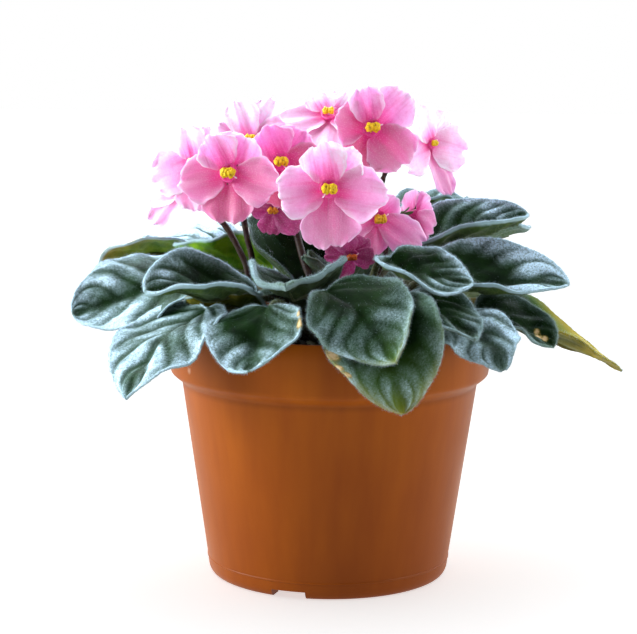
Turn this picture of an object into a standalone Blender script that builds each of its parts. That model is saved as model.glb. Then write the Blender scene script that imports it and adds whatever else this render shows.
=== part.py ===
# A potted african violet: plastic nursery pot, potting soil, a rosette of stalked leaves
# round a short crown, and five flower stalks carrying pink blooms with yellow anthers.
# Metres, +Z up. The origin is the centre of the pot's underside; the front is towards -Y.

import math

import bmesh
import bpy
from mathutils import Matrix, Vector

MM = 0.001
CLEARANCE = 0.3 * MM  # the gap left between touching pieces
WELD = 0.01 * MM  # points closer than this are one point

# The pot, a thin turned shell
RIM_RADIUS = 60.0 * MM
POT_HEIGHT = 96.3 * MM
COLLAR_FOOT = 78.0 * MM  # where the straight collar ends
BODY_TOP = 72.6 * MM  # where the collar's taper meets the body
BODY_TOP_RADIUS = 55.5 * MM
BODY_FOOT_RADIUS = 45.6 * MM
FOOT_RADIUS = 42.6 * MM
FOOT_CORNER = 5.0 * MM  # height of the rounded corner above the foot
WALL = 1.3 * MM
CHANNEL_HEIGHT = 3.0 * MM  # the raised drain channel under the floor
CHANNEL_INNER = 24.0 * MM
CHANNEL_OUTER = 38.0 * MM
FOOT_FLARE = 1.6 * MM  # how far that corner stands out of the foot half way up
RIB = 0.6 * MM  # the slope of the channel's two sides
POT_STEPS = 36
NOTCH_COUNT = 3
NOTCH_WIDTH = 13.0 * MM
NOTCH_BEARING = -109.0  # degrees; the notch that shows at the front left
DRAIN_HOLE_RADIUS = 3.5 * MM
DRAIN_HOLE_SIDES = 10

# The soil and the crown
SOIL_TOP = 87.0 * MM
SOIL_LUMP = 0.7 * MM  # height of the lumps on its surface
SOIL_STEPS = 24
CROWN_STEPS = 16
CROWN_RADIUS = 9.0 * MM
CROWN_FOOT = 74.0 * MM
CROWN_TOP = 106.0 * MM

# Leaves and stems
BLADE_THICKNESS = 1.2 * MM
BLADE_ROWS = 6
BLADE_COLUMNS = 6
BLADE_SWELL = 0.72  # below 1, a blade is widest nearer its base
BLADE_BASE = 0.55  # how blunt its base is, from 0.5, round, to 1, a wedge
BLADE_HEART = 0.10  # how far its margins reach back beside the petiole
PETIOLE_STEPS = 3
PETIOLE_RADIUS = 1.8 * MM
PETIOLE_END_RADIUS = 1.0 * MM
TIER_HEIGHTS = (90.5 * MM, 94.8 * MM, 99.0 * MM, 103.0 * MM)  # where petioles leave the crown
TIER_RISES = (12.0, 28.0, 45.0, 62.0)  # degrees above level as they leave it
STALK_FOOT = 99.5 * MM  # where flower stalks leave it
STALK_RISE = 60.0
STALK_STRAIGHT = 5.0 * MM  # the straight length that they start with
PEDUNCLE_RADIUS = 1.6 * MM
PEDICEL_RADIUS = 0.9 * MM
CALYX_RADIUS = 2.2 * MM
CALYX_LENGTH = 3.5 * MM

# Blooms
PETAL_THICKNESS = 0.6 * MM
PETAL_ROWS = 3
PETAL_COLUMNS = 4
SMALL_PETAL = 13.5  # mm; shorter ones have one column less
PETAL_ROOT = 2.4  # mm from the bloom's axis to where its petals start
PETAL_ROOT_SHARE = 0.26  # how wide a petal is at its root, next to its widest
PETAL_WIDEST = 0.68  # how far along a petal its widest place is
PETAL_REACH = 20.0  # mm, the reach at which dish and reflex count in full
LAYER_GAP = 0.95  # mm from one layer of petals to the next
PETAL_LAYERS = (2, 0, 1, 0, 1)
PETAL_DISH = 3.5  # mm that the petals reach forward
PETAL_REFLEX = 1.5  # mm that their tips bend back
PETAL_TAPER = 0.36  # how much narrower a petal is at its tip
PETAL_ROUND = 0.14  # how far its tip's corners are rounded back
THROAT_RADIUS = 3.4 * MM
THROAT_HEIGHT = 2.3 * MM
TUBE_LENGTH = 3.0 * MM
TUBE_RADIUS = 1.6 * MM
TUBE_SIDES = 8
ANTHER_SIZE = Vector((1.7, 2.1, 1.4)) * MM  # half the width, height and depth of a lobe


def leaf(name, base, tip, width, tier, root, **shape):
    """One leaf. base and tip are the blade's two ends in mm, width is its widest in mm.

    tier is the height on the crown that it grows from, root its bearing there in degrees.
    """
    spec = {
        "name": name,
        "base": Vector(base) * MM,
        "tip": Vector(tip) * MM,
        "width": width * MM,
        "tier": tier,
        "root": root,
        "arch": 0.0,  # mm that the midrib bows up
        "sweep": 0.0,  # mm that it bows to its right
        "roll": 0.0,  # degrees that the right side is raised
        "twist": 0.0,  # degrees that the roll grows from base to tip
        "cup": 25.0,  # degrees that the margins turn up
        "curl": 0.0,  # degrees more towards the tip
        "skew": 0.0,  # degrees that the right margin turns up more than the left
        "fold": 6.0,  # degrees that each half is folded up at the midrib
        "wave": 1.0,  # mm of waving at the margin
        "neck": 0.25,  # share of the petiole's span in which it follows the blade's line
        "pointed": 0.72,  # 0.55 is a round tip, 1 a sharp one
    }
    spec.update(shape)
    return spec


LEAVES = [
    leaf("leaf_left_back_low", (-56, 47, 114), (-91, 37, 113), 31, 1, 138,
         arch=4, roll=-25, twist=-25, cup=0, skew=15),
    leaf("leaf_left_large", (-50, -2, 114.5), (-95.5, -12, 99.5), 44, 0, 190,
         arch=-0.5, roll=37, twist=28, cup=12, curl=-5, skew=-15, pointed=0.57),
    leaf("leaf_left_back_raised", (-31, 17, 113), (-61, 25, 120), 31, 2, 150,
         arch=-1.5, roll=-40, twist=13, cup=18, curl=15, pointed=0.9),
    leaf("leaf_back_left_tip", (-36, 60, 118), (-74, 55, 120), 31, 1, 110,
         arch=-1.5, sweep=-6, roll=-13, twist=-10, cup=18, skew=-14, pointed=0.56),
    leaf("leaf_left_cupped", (-28, -20, 112), (-65.5, -46, 114), 42, 2, 210,
         arch=-2, sweep=4, twist=-15, cup=48, curl=17, skew=19, pointed=0.56),
    leaf("leaf_left_hanging", (-47.5, -34.5, 103), (-71.5, -63, 78), 38.5, 0, 215,
         arch=2, sweep=2.5, roll=-7, cup=0, skew=16, pointed=0.92),
    leaf("leaf_front_round", (-22, -52, 108), (-28, -76, 90), 36.5, 0, 245,
         arch=-1, sweep=1.5, roll=-10, cup=12, pointed=0.67),
    leaf("leaf_front_young", (-8, -17, 112.5), (-17, -50, 119), 48, 2, 240,
         arch=-8, sweep=-2.5, roll=-7, twist=-24, cup=80, curl=18, skew=-17),
    leaf("leaf_front_broad", (-1.5, -53, 115), (22.5, -80, 93.5), 39, 1, 266,
         sweep=-3, roll=-30, twist=-26, cup=1, curl=21, pointed=0.94, neck=0.03),
    leaf("leaf_front_hanging", (20, -51, 108.5), (25.5, -77, 75), 40, 0, 285,
         arch=4, sweep=3, roll=-20, twist=27, cup=6, curl=17, pointed=0.6),
    leaf("leaf_right_cupped", (21.5, -26, 123.5), (50.5, -36.5, 115.5), 32, 2, 325,
         arch=-2, sweep=2, roll=-22, twist=-30, cup=25, curl=-10, skew=9, pointed=0.67),
    leaf("leaf_right_inner_low", (30, -38, 110.5), (50.5, -56.5, 99), 27, 1, 305,
         arch=-1, sweep=-3, cup=6, curl=27, skew=-14, pointed=0.9),
    leaf("leaf_right_large", (40, -6.5, 114), (87.5, -12.5, 112.5), 40, 1, 352,
         arch=-2, sweep=-4.5, roll=-30, twist=-8, cup=34, curl=13, skew=15, pointed=0.92),
    leaf("leaf_right_front_low", (33.5, -32.5, 101), (60.5, -57, 88), 29, 0, 314,
         arch=4, sweep=-6, roll=-20, twist=-15, cup=-7, pointed=0.6),
    leaf("leaf_right_dark", (55.5, -15.5, 101), (82, -21.5, 91), 30, 0, 342,
         arch=1, sweep=-3.5, roll=-13, cup=8, curl=23, skew=-11),
    leaf("leaf_right_long", (67.5, 14.5, 99.5), (113, 22, 74.5), 36, 0, 10,
         arch=-2, sweep=2, roll=-7, twist=8, cup=25, pointed=0.61),
    leaf("leaf_right_back_upper", (34.5, 23.5, 123.5), (75.5, 28.5, 135), 34.5, 2, 30,
         arch=-2, roll=-23, cup=46, curl=7, skew=19, pointed=0.58),
    leaf("leaf_back_right_upper", (29, 59, 134), (54.5, 71.5, 135.5), 30, 2, 60,
         arch=-1, twist=-21, cup=22, pointed=0.57),
    leaf("leaf_right_back_low", (47, 37, 116.5), (79, 53, 124), 31, 1, 38,
         arch=1.5, cup=37, curl=37, skew=19, pointed=0.58),
    leaf("leaf_left_under", (-26.5, -14, 100.5), (-52.5, -26, 108), 27, 1, 198,
         arch=-2, roll=-25, twist=-15, cup=24, curl=21, skew=8),
    leaf("leaf_inner_back", (-10, 15, 115), (-16, 31, 139), 36, 3, 125, arch=-2),
    leaf("leaf_back_upper_left", (-14, 42, 121), (-25, 86, 118), 36, 2, 118, arch=2),
    leaf("leaf_back_upper_right", (22, 38, 122), (34, 80, 121), 36, 3, 75, arch=2),
    leaf("leaf_back_middle", (5, 42, 112), (10, 92, 104), 44, 1, 85, arch=4),
    leaf("leaf_back_left_low", (-27, 46, 101), (-50, 86, 86), 42, 0, 120, arch=4),
    leaf("leaf_back_right_low", (30, 44, 102), (60, 84, 84), 42, 0, 55, arch=4),
]


def bloom(name, centre, bearing, rise, stalk, petals, core=1.0):
    """One bloom. centre is its throat in mm; bearing and rise say where it faces, in degrees.

    petals are five of (bearing clockwise from up in degrees, length mm, width mm), starting
    from the upper left one; core is the size of its throat and anthers.
    """
    return {
        "name": name,
        "centre": Vector(centre) * MM,
        "bearing": bearing,
        "rise": rise,
        "stalk": stalk,
        "petals": [(*petal, layer) for petal, layer in zip(petals, PETAL_LAYERS)],
        "core": core,
    }


BLOOMS = [
    bloom("bloom_front", (-1, -36, 149), 270, 4, "stalk_centre",
          [(-13, 16.5, 17), (34, 17, 15.5), (98, 20.5, 18.5), (179, 21.5, 21.5), (264, 18.5, 17.5)]),
    bloom("bloom_front_left", (-37, -23, 153), 262, 8, "stalk_left",
          [(-27, 14.5, 14), (24, 15, 16), (105, 19, 15), (178, 18.5, 17), (256, 18, 15)]),
    bloom("bloom_middle", (-19, -8, 155.5), 278, 16, "stalk_left_inner",
          [(-21, 14, 15), (35, 15, 13.5), (94, 16.5, 15), (177, 17.5, 16), (266, 15, 15)], core=0.95),
    bloom("bloom_left", (-50.5, 8, 154), 245, 8, "stalk_left",
          [(-19, 14, 13.5), (25, 15, 12), (94, 18, 15), (175, 18.5, 16), (251, 17.5, 14)], core=0.85),
    bloom("bloom_top_right", (14.5, 4, 168), 280, 8, "stalk_right",
          [(-13, 15.5, 12), (48, 19, 16), (138, 19, 20), (195, 17.5, 16), (286, 14, 17)]),
    bloom("bloom_right_side", (37, 24, 161), 328, 5, "stalk_right",
          [(-29, 15, 13), (45, 12.5, 13), (103, 19.5, 18), (155, 22.5, 11), (251, 16, 14)], core=0.9),
    bloom("bloom_top", (-1, 34, 170), 262, 58, "stalk_centre",
          [(-29, 11, 14), (23, 13, 14), (105, 18, 17), (177, 21, 20), (252, 17.5, 15)], core=0.85),
    bloom("bloom_top_left", (-31, 30, 162), 266, 38, "stalk_left_inner",
          [(-21, 16.5, 12), (20, 19, 13.5), (70, 15, 14), (174, 16.5, 17), (296, 13, 15)], core=0.85),
    bloom("bloom_lower_right", (16.5, -17, 137), 292, -8, "stalk_right_low",
          [(-45, 13, 13), (45, 10, 11), (122, 21, 14), (193, 15, 14), (258, 15, 13)], core=0.9),
    bloom("bloom_right_low", (30, 3, 135.5), 30, -5, "stalk_right_low",
          [(-50, 9, 9.5), (36, 9.5, 9.5), (118, 12, 10), (190, 13, 10.5), (250, 12.5, 10)], core=0.7),
    bloom("bloom_lowest", (7, -22, 124.5), 280, -25, "stalk_right_low",
          [(-24, 9.5, 9), (45, 8.5, 9), (105, 9, 9.5), (203, 11.5, 10), (280, 10, 9)], core=0.7),
    bloom("bloom_inner_shade", (-21.5, -6, 139), 268, -15, "stalk_left_inner",
          [(-29, 8.5, 9), (35, 9, 9), (130, 13, 10), (185, 10.5, 10), (275, 8.5, 9)], core=0.7),
    bloom("bloom_far_left", (-58.5, 32, 141.5), 215, -5, "stalk_left",
          [(-62, 20, 10), (20, 15, 14), (95, 17, 15), (222, 19, 11), (265, 13, 11)], core=0.8),
]

# Where each flower stalk leaves the crown (degrees), the places it passes and forks at (mm)
STALKS = {
    "stalk_left": (187, [(-28, -6, 116), (-39, -1, 128), (-43, 2, 134)]),
    "stalk_left_inner": (168, [(-26, 3, 116), (-33, 8, 132), (-32, 11, 140)]),
    "stalk_centre": (283, [(-7, -10, 112), (-14, 2, 135), (-11, 6, 147)]),
    "stalk_right": (95, [(4, 14, 118), (15, 16, 138), (20, 15, 149)]),
    "stalk_right_low": (357, [(15, -2, 110), (20, -3, 120)]),
}


def clear_scene():
    for obj in list(bpy.data.objects):
        bpy.data.objects.remove(obj)


def make_material(name, colour, roughness):
    material = bpy.data.materials.new(name)
    material.use_nodes = True
    shader = material.node_tree.nodes["Principled BSDF"]
    shader.inputs["Base Color"].default_value = (*colour, 1.0)
    shader.inputs["Roughness"].default_value = roughness
    shader.inputs["Metallic"].default_value = 0.0
    return material


def add_object(name, mesh, material, collection):
    obj = bpy.data.objects.new(name, mesh)
    mesh.materials.clear()
    mesh.materials.append(material)
    collection.objects.link(obj)
    return obj


def mesh_from(name, bm):
    mesh = bpy.data.meshes.new(name)
    bm.to_mesh(mesh)
    bm.free()
    return mesh


def baked(obj):
    """The object's evaluated mesh as a new mesh, welded."""
    bpy.context.view_layer.update()
    graph = bpy.context.evaluated_depsgraph_get()
    mesh = bpy.data.meshes.new_from_object(obj.evaluated_get(graph))
    bm = bmesh.new()
    bm.from_mesh(mesh)
    bmesh.ops.remove_doubles(bm, verts=bm.verts, dist=WELD)
    bm.to_mesh(mesh)
    bm.free()
    return mesh


def fuse(body, pieces):
    """Joins the pieces to the body with one Boolean union, and removes them."""
    group = bpy.data.collections.new(body.name + "_pieces")
    bpy.context.scene.collection.children.link(group)
    for piece in pieces:
        for holder in list(piece.users_collection):
            holder.objects.unlink(piece)
        group.objects.link(piece)
    union = body.modifiers.new("Join", "BOOLEAN")
    union.operation = "UNION"
    union.operand_type = "COLLECTION"
    union.collection = group
    union.solver = "EXACT"
    mesh = baked(body)
    body.modifiers.clear()
    body.data = mesh
    for piece in pieces:
        bpy.data.objects.remove(piece)
    bpy.data.collections.remove(group)


def tube(name, points, radii, material, collection, resolution=1):
    """A round stem through the points, as a mesh with welded caps."""
    curve = bpy.data.curves.new(name, "CURVE")
    curve.dimensions = "3D"
    curve.bevel_depth = 1.0
    curve.bevel_resolution = resolution
    curve.use_fill_caps = True
    spline = curve.splines.new("POLY")
    spline.points.add(len(points) - 1)
    for point, place, radius in zip(spline.points, points, radii):
        point.co = (*place, 1.0)
        point.radius = radius
    guide = bpy.data.objects.new(name + "_guide", curve)
    collection.objects.link(guide)
    mesh = baked(guide)
    bpy.data.objects.remove(guide)
    return add_object(name, mesh, material, collection)


def turned(name, profile, steps, material, collection):
    """A solid of revolution: the profile runs from the axis, over the top and down outside."""
    bm = bmesh.new()
    verts = [bm.verts.new((radius, 0.0, height)) for radius, height in profile]
    for first, second in zip(verts, verts[1:]):
        bm.edges.new((first, second))
    obj = add_object(name, mesh_from(name, bm), material, collection)
    screw = obj.modifiers.new("Screw", "SCREW")
    screw.steps = steps
    screw.render_steps = steps
    screw.use_merge_vertices = True
    screw.merge_threshold = WELD
    return obj


def bezier(start, leave, arrive, end, count):
    """Points along a cubic curve, ends included."""
    places = []
    for i in range(count + 1):
        t = i / count
        places.append(
            start * (1 - t) ** 3
            + leave * 3 * t * (1 - t) ** 2
            + arrive * 3 * t * t * (1 - t)
            + end * t**3
        )
    return places


def smooth(places, share=2):
    """A Catmull-Rom curve through the places, each stretch in a few equal steps."""
    ends = [places[0] * 2 - places[1]] + places + [places[-1] * 2 - places[-2]]
    points = [places[0]]
    for a, b, c, d in zip(ends, ends[1:], ends[2:], ends[3:]):
        for i in range(1, share + 1):
            t = i / share
            points.append(
                (b * 2 + (c - a) * t + (a * 2 - b * 5 + c * 4 - d) * t**2
                 + (b * 3 - a - c * 3 + d) * t**3) / 2
            )
    return points


def heading(bearing, rise=0.0):
    """The unit vector towards a bearing (degrees, from +X towards +Y) and a rise."""
    level = math.cos(math.radians(rise))
    return Vector(
        (
            math.cos(math.radians(bearing)) * level,
            math.sin(math.radians(bearing)) * level,
            math.sin(math.radians(rise)),
        )
    )


def pot_profile():
    inner_foot = CHANNEL_HEIGHT + WALL
    taper_run = RIM_RADIUS - BODY_TOP_RADIUS
    return [
        (0.0, WALL),
        (CHANNEL_INNER - WALL, WALL),
        (CHANNEL_INNER, inner_foot),
        (BODY_FOOT_RADIUS - WALL - 1 * MM, inner_foot),
        (BODY_TOP_RADIUS - WALL, BODY_TOP + 0.3 * WALL),
        (RIM_RADIUS - WALL, COLLAR_FOOT + 0.4 * WALL),
        (RIM_RADIUS - WALL, POT_HEIGHT),
        (RIM_RADIUS, POT_HEIGHT - 0.5 * WALL),
        (RIM_RADIUS, COLLAR_FOOT),
        (RIM_RADIUS - 0.25 * taper_run, (COLLAR_FOOT + BODY_TOP) / 2),
        (BODY_TOP_RADIUS, BODY_TOP),
        (BODY_FOOT_RADIUS, FOOT_CORNER),
        (FOOT_RADIUS + FOOT_FLARE, 0.28 * FOOT_CORNER),
        (FOOT_RADIUS, 0.0),
        (CHANNEL_OUTER, 0.0),
        (CHANNEL_OUTER - RIB, CHANNEL_HEIGHT),
        (CHANNEL_INNER + RIB, CHANNEL_HEIGHT),
        (CHANNEL_INNER, 0.0),
        (0.0, 0.0),
    ]


def make_pot(material, collection, cutters):
    pot = turned("pot", pot_profile(), POT_STEPS, material, collection)
    for i in range(NOTCH_COUNT):
        bearing = NOTCH_BEARING + i * 360.0 / NOTCH_COUNT
        turn = Matrix.Rotation(math.radians(bearing), 4, "Z")
        bm = bmesh.new()
        bmesh.ops.create_cube(bm, size=1.0)
        inner_end = (CHANNEL_INNER + CHANNEL_OUTER) / 2 + 4 * MM
        size = Vector((RIM_RADIUS - inner_end, NOTCH_WIDTH, 2 * CHANNEL_HEIGHT))
        bmesh.ops.scale(bm, vec=size, verts=bm.verts)
        middle = Vector((inner_end + size.x / 2, 0.0, -0.03 * CHANNEL_HEIGHT))
        bmesh.ops.translate(bm, vec=middle, verts=bm.verts)
        bmesh.ops.transform(bm, matrix=turn, verts=bm.verts)
        notch = add_object(f"notch_cutter_{i + 1}", mesh_from("notch", bm), material, cutters)
        bm = bmesh.new()
        bmesh.ops.create_cone(
            bm,
            cap_ends=True,
            segments=DRAIN_HOLE_SIDES,
            radius1=DRAIN_HOLE_RADIUS,
            radius2=DRAIN_HOLE_RADIUS,
            depth=4 * WALL,
        )
        half_way = Matrix.Rotation(math.radians(bearing + 180.0 / NOTCH_COUNT), 4, "Z")
        middle = Vector(((CHANNEL_INNER + CHANNEL_OUTER) / 2, 0.0, CHANNEL_HEIGHT + WALL / 2))
        bmesh.ops.translate(bm, vec=middle, verts=bm.verts)
        bmesh.ops.transform(bm, matrix=half_way, verts=bm.verts)
        hole = add_object(f"hole_cutter_{i + 1}", mesh_from("hole", bm), material, cutters)
        for cutter in (notch, hole):
            cutter.hide_render = True
            cutter.display_type = "WIRE"
            cut = pot.modifiers.new(cutter.name, "BOOLEAN")
            cut.operation = "DIFFERENCE"
            cut.object = cutter
            cut.solver = "EXACT"
    return pot


def make_soil(material, collection):
    inner_foot = CHANNEL_HEIGHT + WALL + CLEARANCE
    foot_radius = BODY_FOOT_RADIUS - WALL - CLEARANCE
    hole = CROWN_RADIUS + CLEARANCE
    hole_foot = CROWN_FOOT - CLEARANCE
    wall_top = RIM_RADIUS - WALL - 2 * CLEARANCE
    rings = [hole + (wall_top - hole) * i / 4 for i in range(5)]
    profile = [(0.0, hole_foot), (hole, hole_foot)]
    profile += [(radius, SOIL_TOP) for radius in rings]
    profile += [
        (wall_top, COLLAR_FOOT + WALL),
        (BODY_TOP_RADIUS - WALL - 2 * CLEARANCE, BODY_TOP + 0.3 * WALL),
        (foot_radius - 1 * MM, inner_foot),
        (0.0, inner_foot),
    ]
    soil = turned("potting_soil", profile, SOIL_STEPS, material, collection)
    mesh = baked(soil)
    soil.modifiers.clear()
    soil.data = mesh
    for vert in mesh.vertices:
        x, y = vert.co.xy / MM
        if vert.co.z > SOIL_TOP - WELD and math.hypot(x, y) * MM < rings[-1] - WELD:
            lump = math.sin(0.41 * x + 1.3) * math.cos(0.37 * y) + math.sin(0.9 * x - 0.7 * y)
            vert.co.z += SOIL_LUMP * lump
    return soil


def make_crown(material, collection):
    profile = [
        (0.0, CROWN_TOP),
        (CROWN_RADIUS * 0.5, CROWN_TOP - 0.6 * MM),
        (CROWN_RADIUS * 0.85, CROWN_TOP - 2.2 * MM),
        (CROWN_RADIUS, CROWN_TOP - 5 * MM),
        (CROWN_RADIUS, CROWN_FOOT + 4 * MM),
        (CROWN_RADIUS * 0.7, CROWN_FOOT),
        (0.0, CROWN_FOOT),
    ]
    return turned("crown", profile, CROWN_STEPS, material, collection)


def midrib(spec):
    """The blade's midrib as a function of t, and its direction."""
    base, tip = spec["base"], spec["tip"]
    chord = (tip - base).normalized()
    aside = chord.cross(Vector((0, 0, 1))).normalized()
    above = aside.cross(chord)
    control = (base + tip) / 2 + (above * spec["arch"] + aside * spec["sweep"]) * 2 * MM

    def place(t):
        if t < 0:
            return base + (control - base) * 2 * t
        return base * (1 - t) ** 2 + control * 2 * t * (1 - t) + tip * t * t

    def direction(t):
        t = max(t, 0.0)
        return ((control - base) * (1 - t) + (tip - control) * t).normalized()

    return place, direction


def blade_frame(spec, t):
    """Place, right-hand side and upper side of the blade at t along the midrib."""
    place, direction = midrib(spec)
    along = direction(t)
    aside = along.cross(Vector((0, 0, 1))).normalized()
    above = aside.cross(along)
    roll = math.radians(spec["roll"] + spec["twist"] * (t - 0.5))
    return (
        place(t),
        aside * math.cos(roll) + above * math.sin(roll),
        above * math.cos(roll) - aside * math.sin(roll),
    )


def blade_point(spec, t, s):
    """A point of the blade: t runs along the midrib, s from -1 on the left margin to 1."""
    swell = math.sin(math.pi * min(max(t, 0.0), 1.0) ** BLADE_SWELL)
    blunt = BLADE_BASE * (1 - t) + spec["pointed"] * t
    breadth = max(swell, 0.0) ** blunt
    half = spec["width"] / 2 * breadth
    back = BLADE_HEART * s * s * breadth * (1 - t) ** 2
    middle, right, up = blade_frame(spec, t - back)
    side = 1 if s > 0 else -1
    turn = math.radians(spec["cup"] + spec["skew"] * side + spec["curl"] * t) * 2 / spec["width"]
    reach = abs(s) * half
    if abs(turn) > 1e-6:
        out, rise = math.sin(turn * reach) / turn, (1 - math.cos(turn * reach)) / turn
    else:
        out, rise = reach, 0.0
    fold = math.radians(spec["fold"])
    out, rise = (
        out * math.cos(fold) - rise * math.sin(fold),
        rise * math.cos(fold) + out * math.sin(fold),
    )
    rise += spec["wave"] * MM * breadth * s * s * math.sin(11 * t + 2 * side)
    return middle + right * (side * out) + up * rise


def make_blade(spec, material, collection):
    bm = bmesh.new()
    bmesh.ops.create_grid(bm, x_segments=BLADE_ROWS, y_segments=BLADE_COLUMNS, size=1.0)
    for vert in bm.verts:
        even = (vert.co.x + 1) / 2
        eased = (1 - math.cos(math.pi * even)) / 2
        vert.co = blade_point(spec, (even + eased) / 2, -vert.co.y)
    bmesh.ops.remove_doubles(bm, verts=bm.verts, dist=WELD)
    bmesh.ops.triangulate(bm, faces=bm.faces)
    blade = add_object(spec["name"], mesh_from(spec["name"], bm), material, collection)
    solidify = blade.modifiers.new("Solidify", "SOLIDIFY")
    solidify.thickness = BLADE_THICKNESS
    solidify.offset = 0.0
    blade.data = baked(blade)
    blade.modifiers.clear()
    return blade


def make_leaf(spec, material, collection):
    blade = make_blade(spec, material, collection)
    base = spec["base"]
    bearing = spec["root"]
    rise = TIER_RISES[spec["tier"]]
    seat = CROWN_RADIUS + CLEARANCE + PETIOLE_RADIUS * math.sin(math.radians(rise))
    start = heading(bearing) * seat + Vector((0, 0, TIER_HEIGHTS[spec["tier"]]))
    direction = midrib(spec)[1]
    span = (base - start).length
    leave = start + heading(bearing, rise) * span * 0.45
    arrive = base - direction(0) * span * spec["neck"]
    points = bezier(start, leave, arrive, base, PETIOLE_STEPS)
    taper = (PETIOLE_RADIUS - PETIOLE_END_RADIUS) / PETIOLE_STEPS
    radii = [PETIOLE_RADIUS - taper * i for i in range(PETIOLE_STEPS + 1)]
    for t in (0.1, 0.22):  # two points more sink its end into the blade
        middle, right, up = blade_frame(spec, t)
        points.append(middle - up * 0.5 * BLADE_THICKNESS)
        radii.append(PETIOLE_END_RADIUS * (1 - t))
    stem = tube(spec["name"] + "_petiole", points, radii, material, collection)
    fuse(blade, [stem])
    return blade


def bloom_frame(spec):
    """The bloom's own axes: right and up across its face, and forward."""
    forward = heading(spec["bearing"], spec["rise"])
    right = Vector((0, 0, 1)).cross(forward).normalized()
    return right, forward.cross(right), forward


def petal_point(spec, petal, t, s):
    """A point of a petal: t runs out from the throat, s across from -1 to 1."""
    bearing, length, width, layer = petal
    right, up, forward = bloom_frame(spec)
    angle = math.radians(bearing)
    along = up * math.cos(angle) + right * math.sin(angle)
    aside = right * math.cos(angle) - up * math.sin(angle)
    swell = math.sin(math.pi / 2 * min(1.0, t / PETAL_WIDEST)) ** 0.9
    taper = 1 - PETAL_TAPER * max(0.0, (t - PETAL_WIDEST) / (1 - PETAL_WIDEST)) ** 2
    half = width / 2 * (PETAL_ROOT_SHARE + (1 - PETAL_ROOT_SHARE) * swell) * taper
    root = PETAL_ROOT * spec["core"]
    out = root + (length - root) * t * (1 - PETAL_ROUND * s * s * t)
    reach = math.hypot(out, half * s) / PETAL_REACH
    ahead = PETAL_DISH * reach**1.4 - PETAL_REFLEX * reach**4 + LAYER_GAP * layer
    place = along * out + aside * half * s + forward * ahead
    return spec["centre"] + place * MM


def make_petal(spec, petal, material, collection):
    bm = bmesh.new()
    columns = PETAL_COLUMNS if petal[1] > SMALL_PETAL else PETAL_COLUMNS - 1
    bmesh.ops.create_grid(bm, x_segments=PETAL_ROWS, y_segments=columns, size=1.0)
    for vert in bm.verts:
        vert.co = petal_point(spec, petal, (vert.co.x + 1) / 2, -vert.co.y)
    bmesh.ops.triangulate(bm, faces=bm.faces)
    obj = add_object(spec["name"] + "_petal", mesh_from("petal", bm), material, collection)
    solidify = obj.modifiers.new("Solidify", "SOLIDIFY")
    solidify.thickness = PETAL_THICKNESS
    solidify.offset = 0.0
    obj.data = baked(obj)
    obj.modifiers.clear()
    return obj


def make_corolla(spec, material, collection):
    right, up, forward = bloom_frame(spec)
    turn = Matrix((right, up, forward)).transposed().to_4x4()
    bm = bmesh.new()
    bmesh.ops.create_cone(
        bm,
        cap_ends=True,
        segments=TUBE_SIDES,
        radius1=TUBE_RADIUS,
        radius2=THROAT_RADIUS,
        depth=TUBE_LENGTH + THROAT_HEIGHT,
    )
    bmesh.ops.translate(bm, vec=(0, 0, (THROAT_HEIGHT - TUBE_LENGTH) / 2), verts=bm.verts)
    bmesh.ops.scale(bm, vec=(spec["core"], spec["core"], 1.0), verts=bm.verts)
    bmesh.ops.transform(bm, matrix=Matrix.Translation(spec["centre"]) @ turn, verts=bm.verts)
    corolla = add_object(spec["name"], mesh_from(spec["name"], bm), material, collection)
    petals = [make_petal(spec, petal, material, collection) for petal in spec["petals"]]
    fuse(corolla, petals)
    return corolla


def make_anthers(spec, material, collection):
    """The bloom's pair of joined yellow anthers, in front of the throat."""
    right, up, forward = bloom_frame(spec)
    turn = Matrix((right, up, forward)).transposed().to_4x4()
    ahead = THROAT_HEIGHT + ANTHER_SIZE.z * spec["core"] + CLEARANCE
    lobes = []
    for side in (-1, 1):
        bm = bmesh.new()
        bmesh.ops.create_uvsphere(bm, u_segments=6, v_segments=4, radius=1.0)
        bmesh.ops.scale(bm, vec=ANTHER_SIZE * spec["core"], verts=bm.verts)
        aside = side * 0.75 * ANTHER_SIZE.x * spec["core"]
        middle = spec["centre"] + right * aside + forward * ahead
        bmesh.ops.transform(bm, matrix=Matrix.Translation(middle) @ turn, verts=bm.verts)
        lobe = add_object(spec["name"] + "_anthers", mesh_from("anther", bm), material, collection)
        lobes.append(lobe)
    fuse(lobes[0], lobes[1:])
    return lobes[0]


def make_stalk(name, bearing, places, material, collection):
    """One flower stalk: its main stem, and a stem with a calyx to each of its blooms."""
    seat = CROWN_RADIUS + CLEARANCE + PEDUNCLE_RADIUS * math.sin(math.radians(STALK_RISE))
    start = heading(bearing) * seat + Vector((0, 0, STALK_FOOT))
    places = [Vector(place) * MM for place in places]
    places.insert(0, start + heading(bearing, STALK_RISE) * STALK_STRAIGHT)
    points = [start] + smooth(places)
    main = tube(name, points, [PEDUNCLE_RADIUS] * len(points), material, collection)
    fork = points[-1]
    growth = (points[-1] - points[-2]).normalized()
    branches = []
    for flower in BLOOMS:
        if flower["stalk"] != name:
            continue
        forward = heading(flower["bearing"], flower["rise"])
        end = flower["centre"] - forward * (TUBE_LENGTH + CLEARANCE)
        foot = end - forward * CALYX_LENGTH
        reach = (foot - fork).length * 0.45
        sunk = fork - growth * PEDUNCLE_RADIUS
        route = bezier(sunk, fork + growth * reach, foot - forward * reach, foot, 4)
        route.append(end)
        radii = [PEDICEL_RADIUS] * 4 + [PEDICEL_RADIUS * 1.3, CALYX_RADIUS * flower["core"]]
        branches.append(tube(name + "_branch", route, radii, material, collection))
    fuse(main, branches)
    return main


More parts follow.
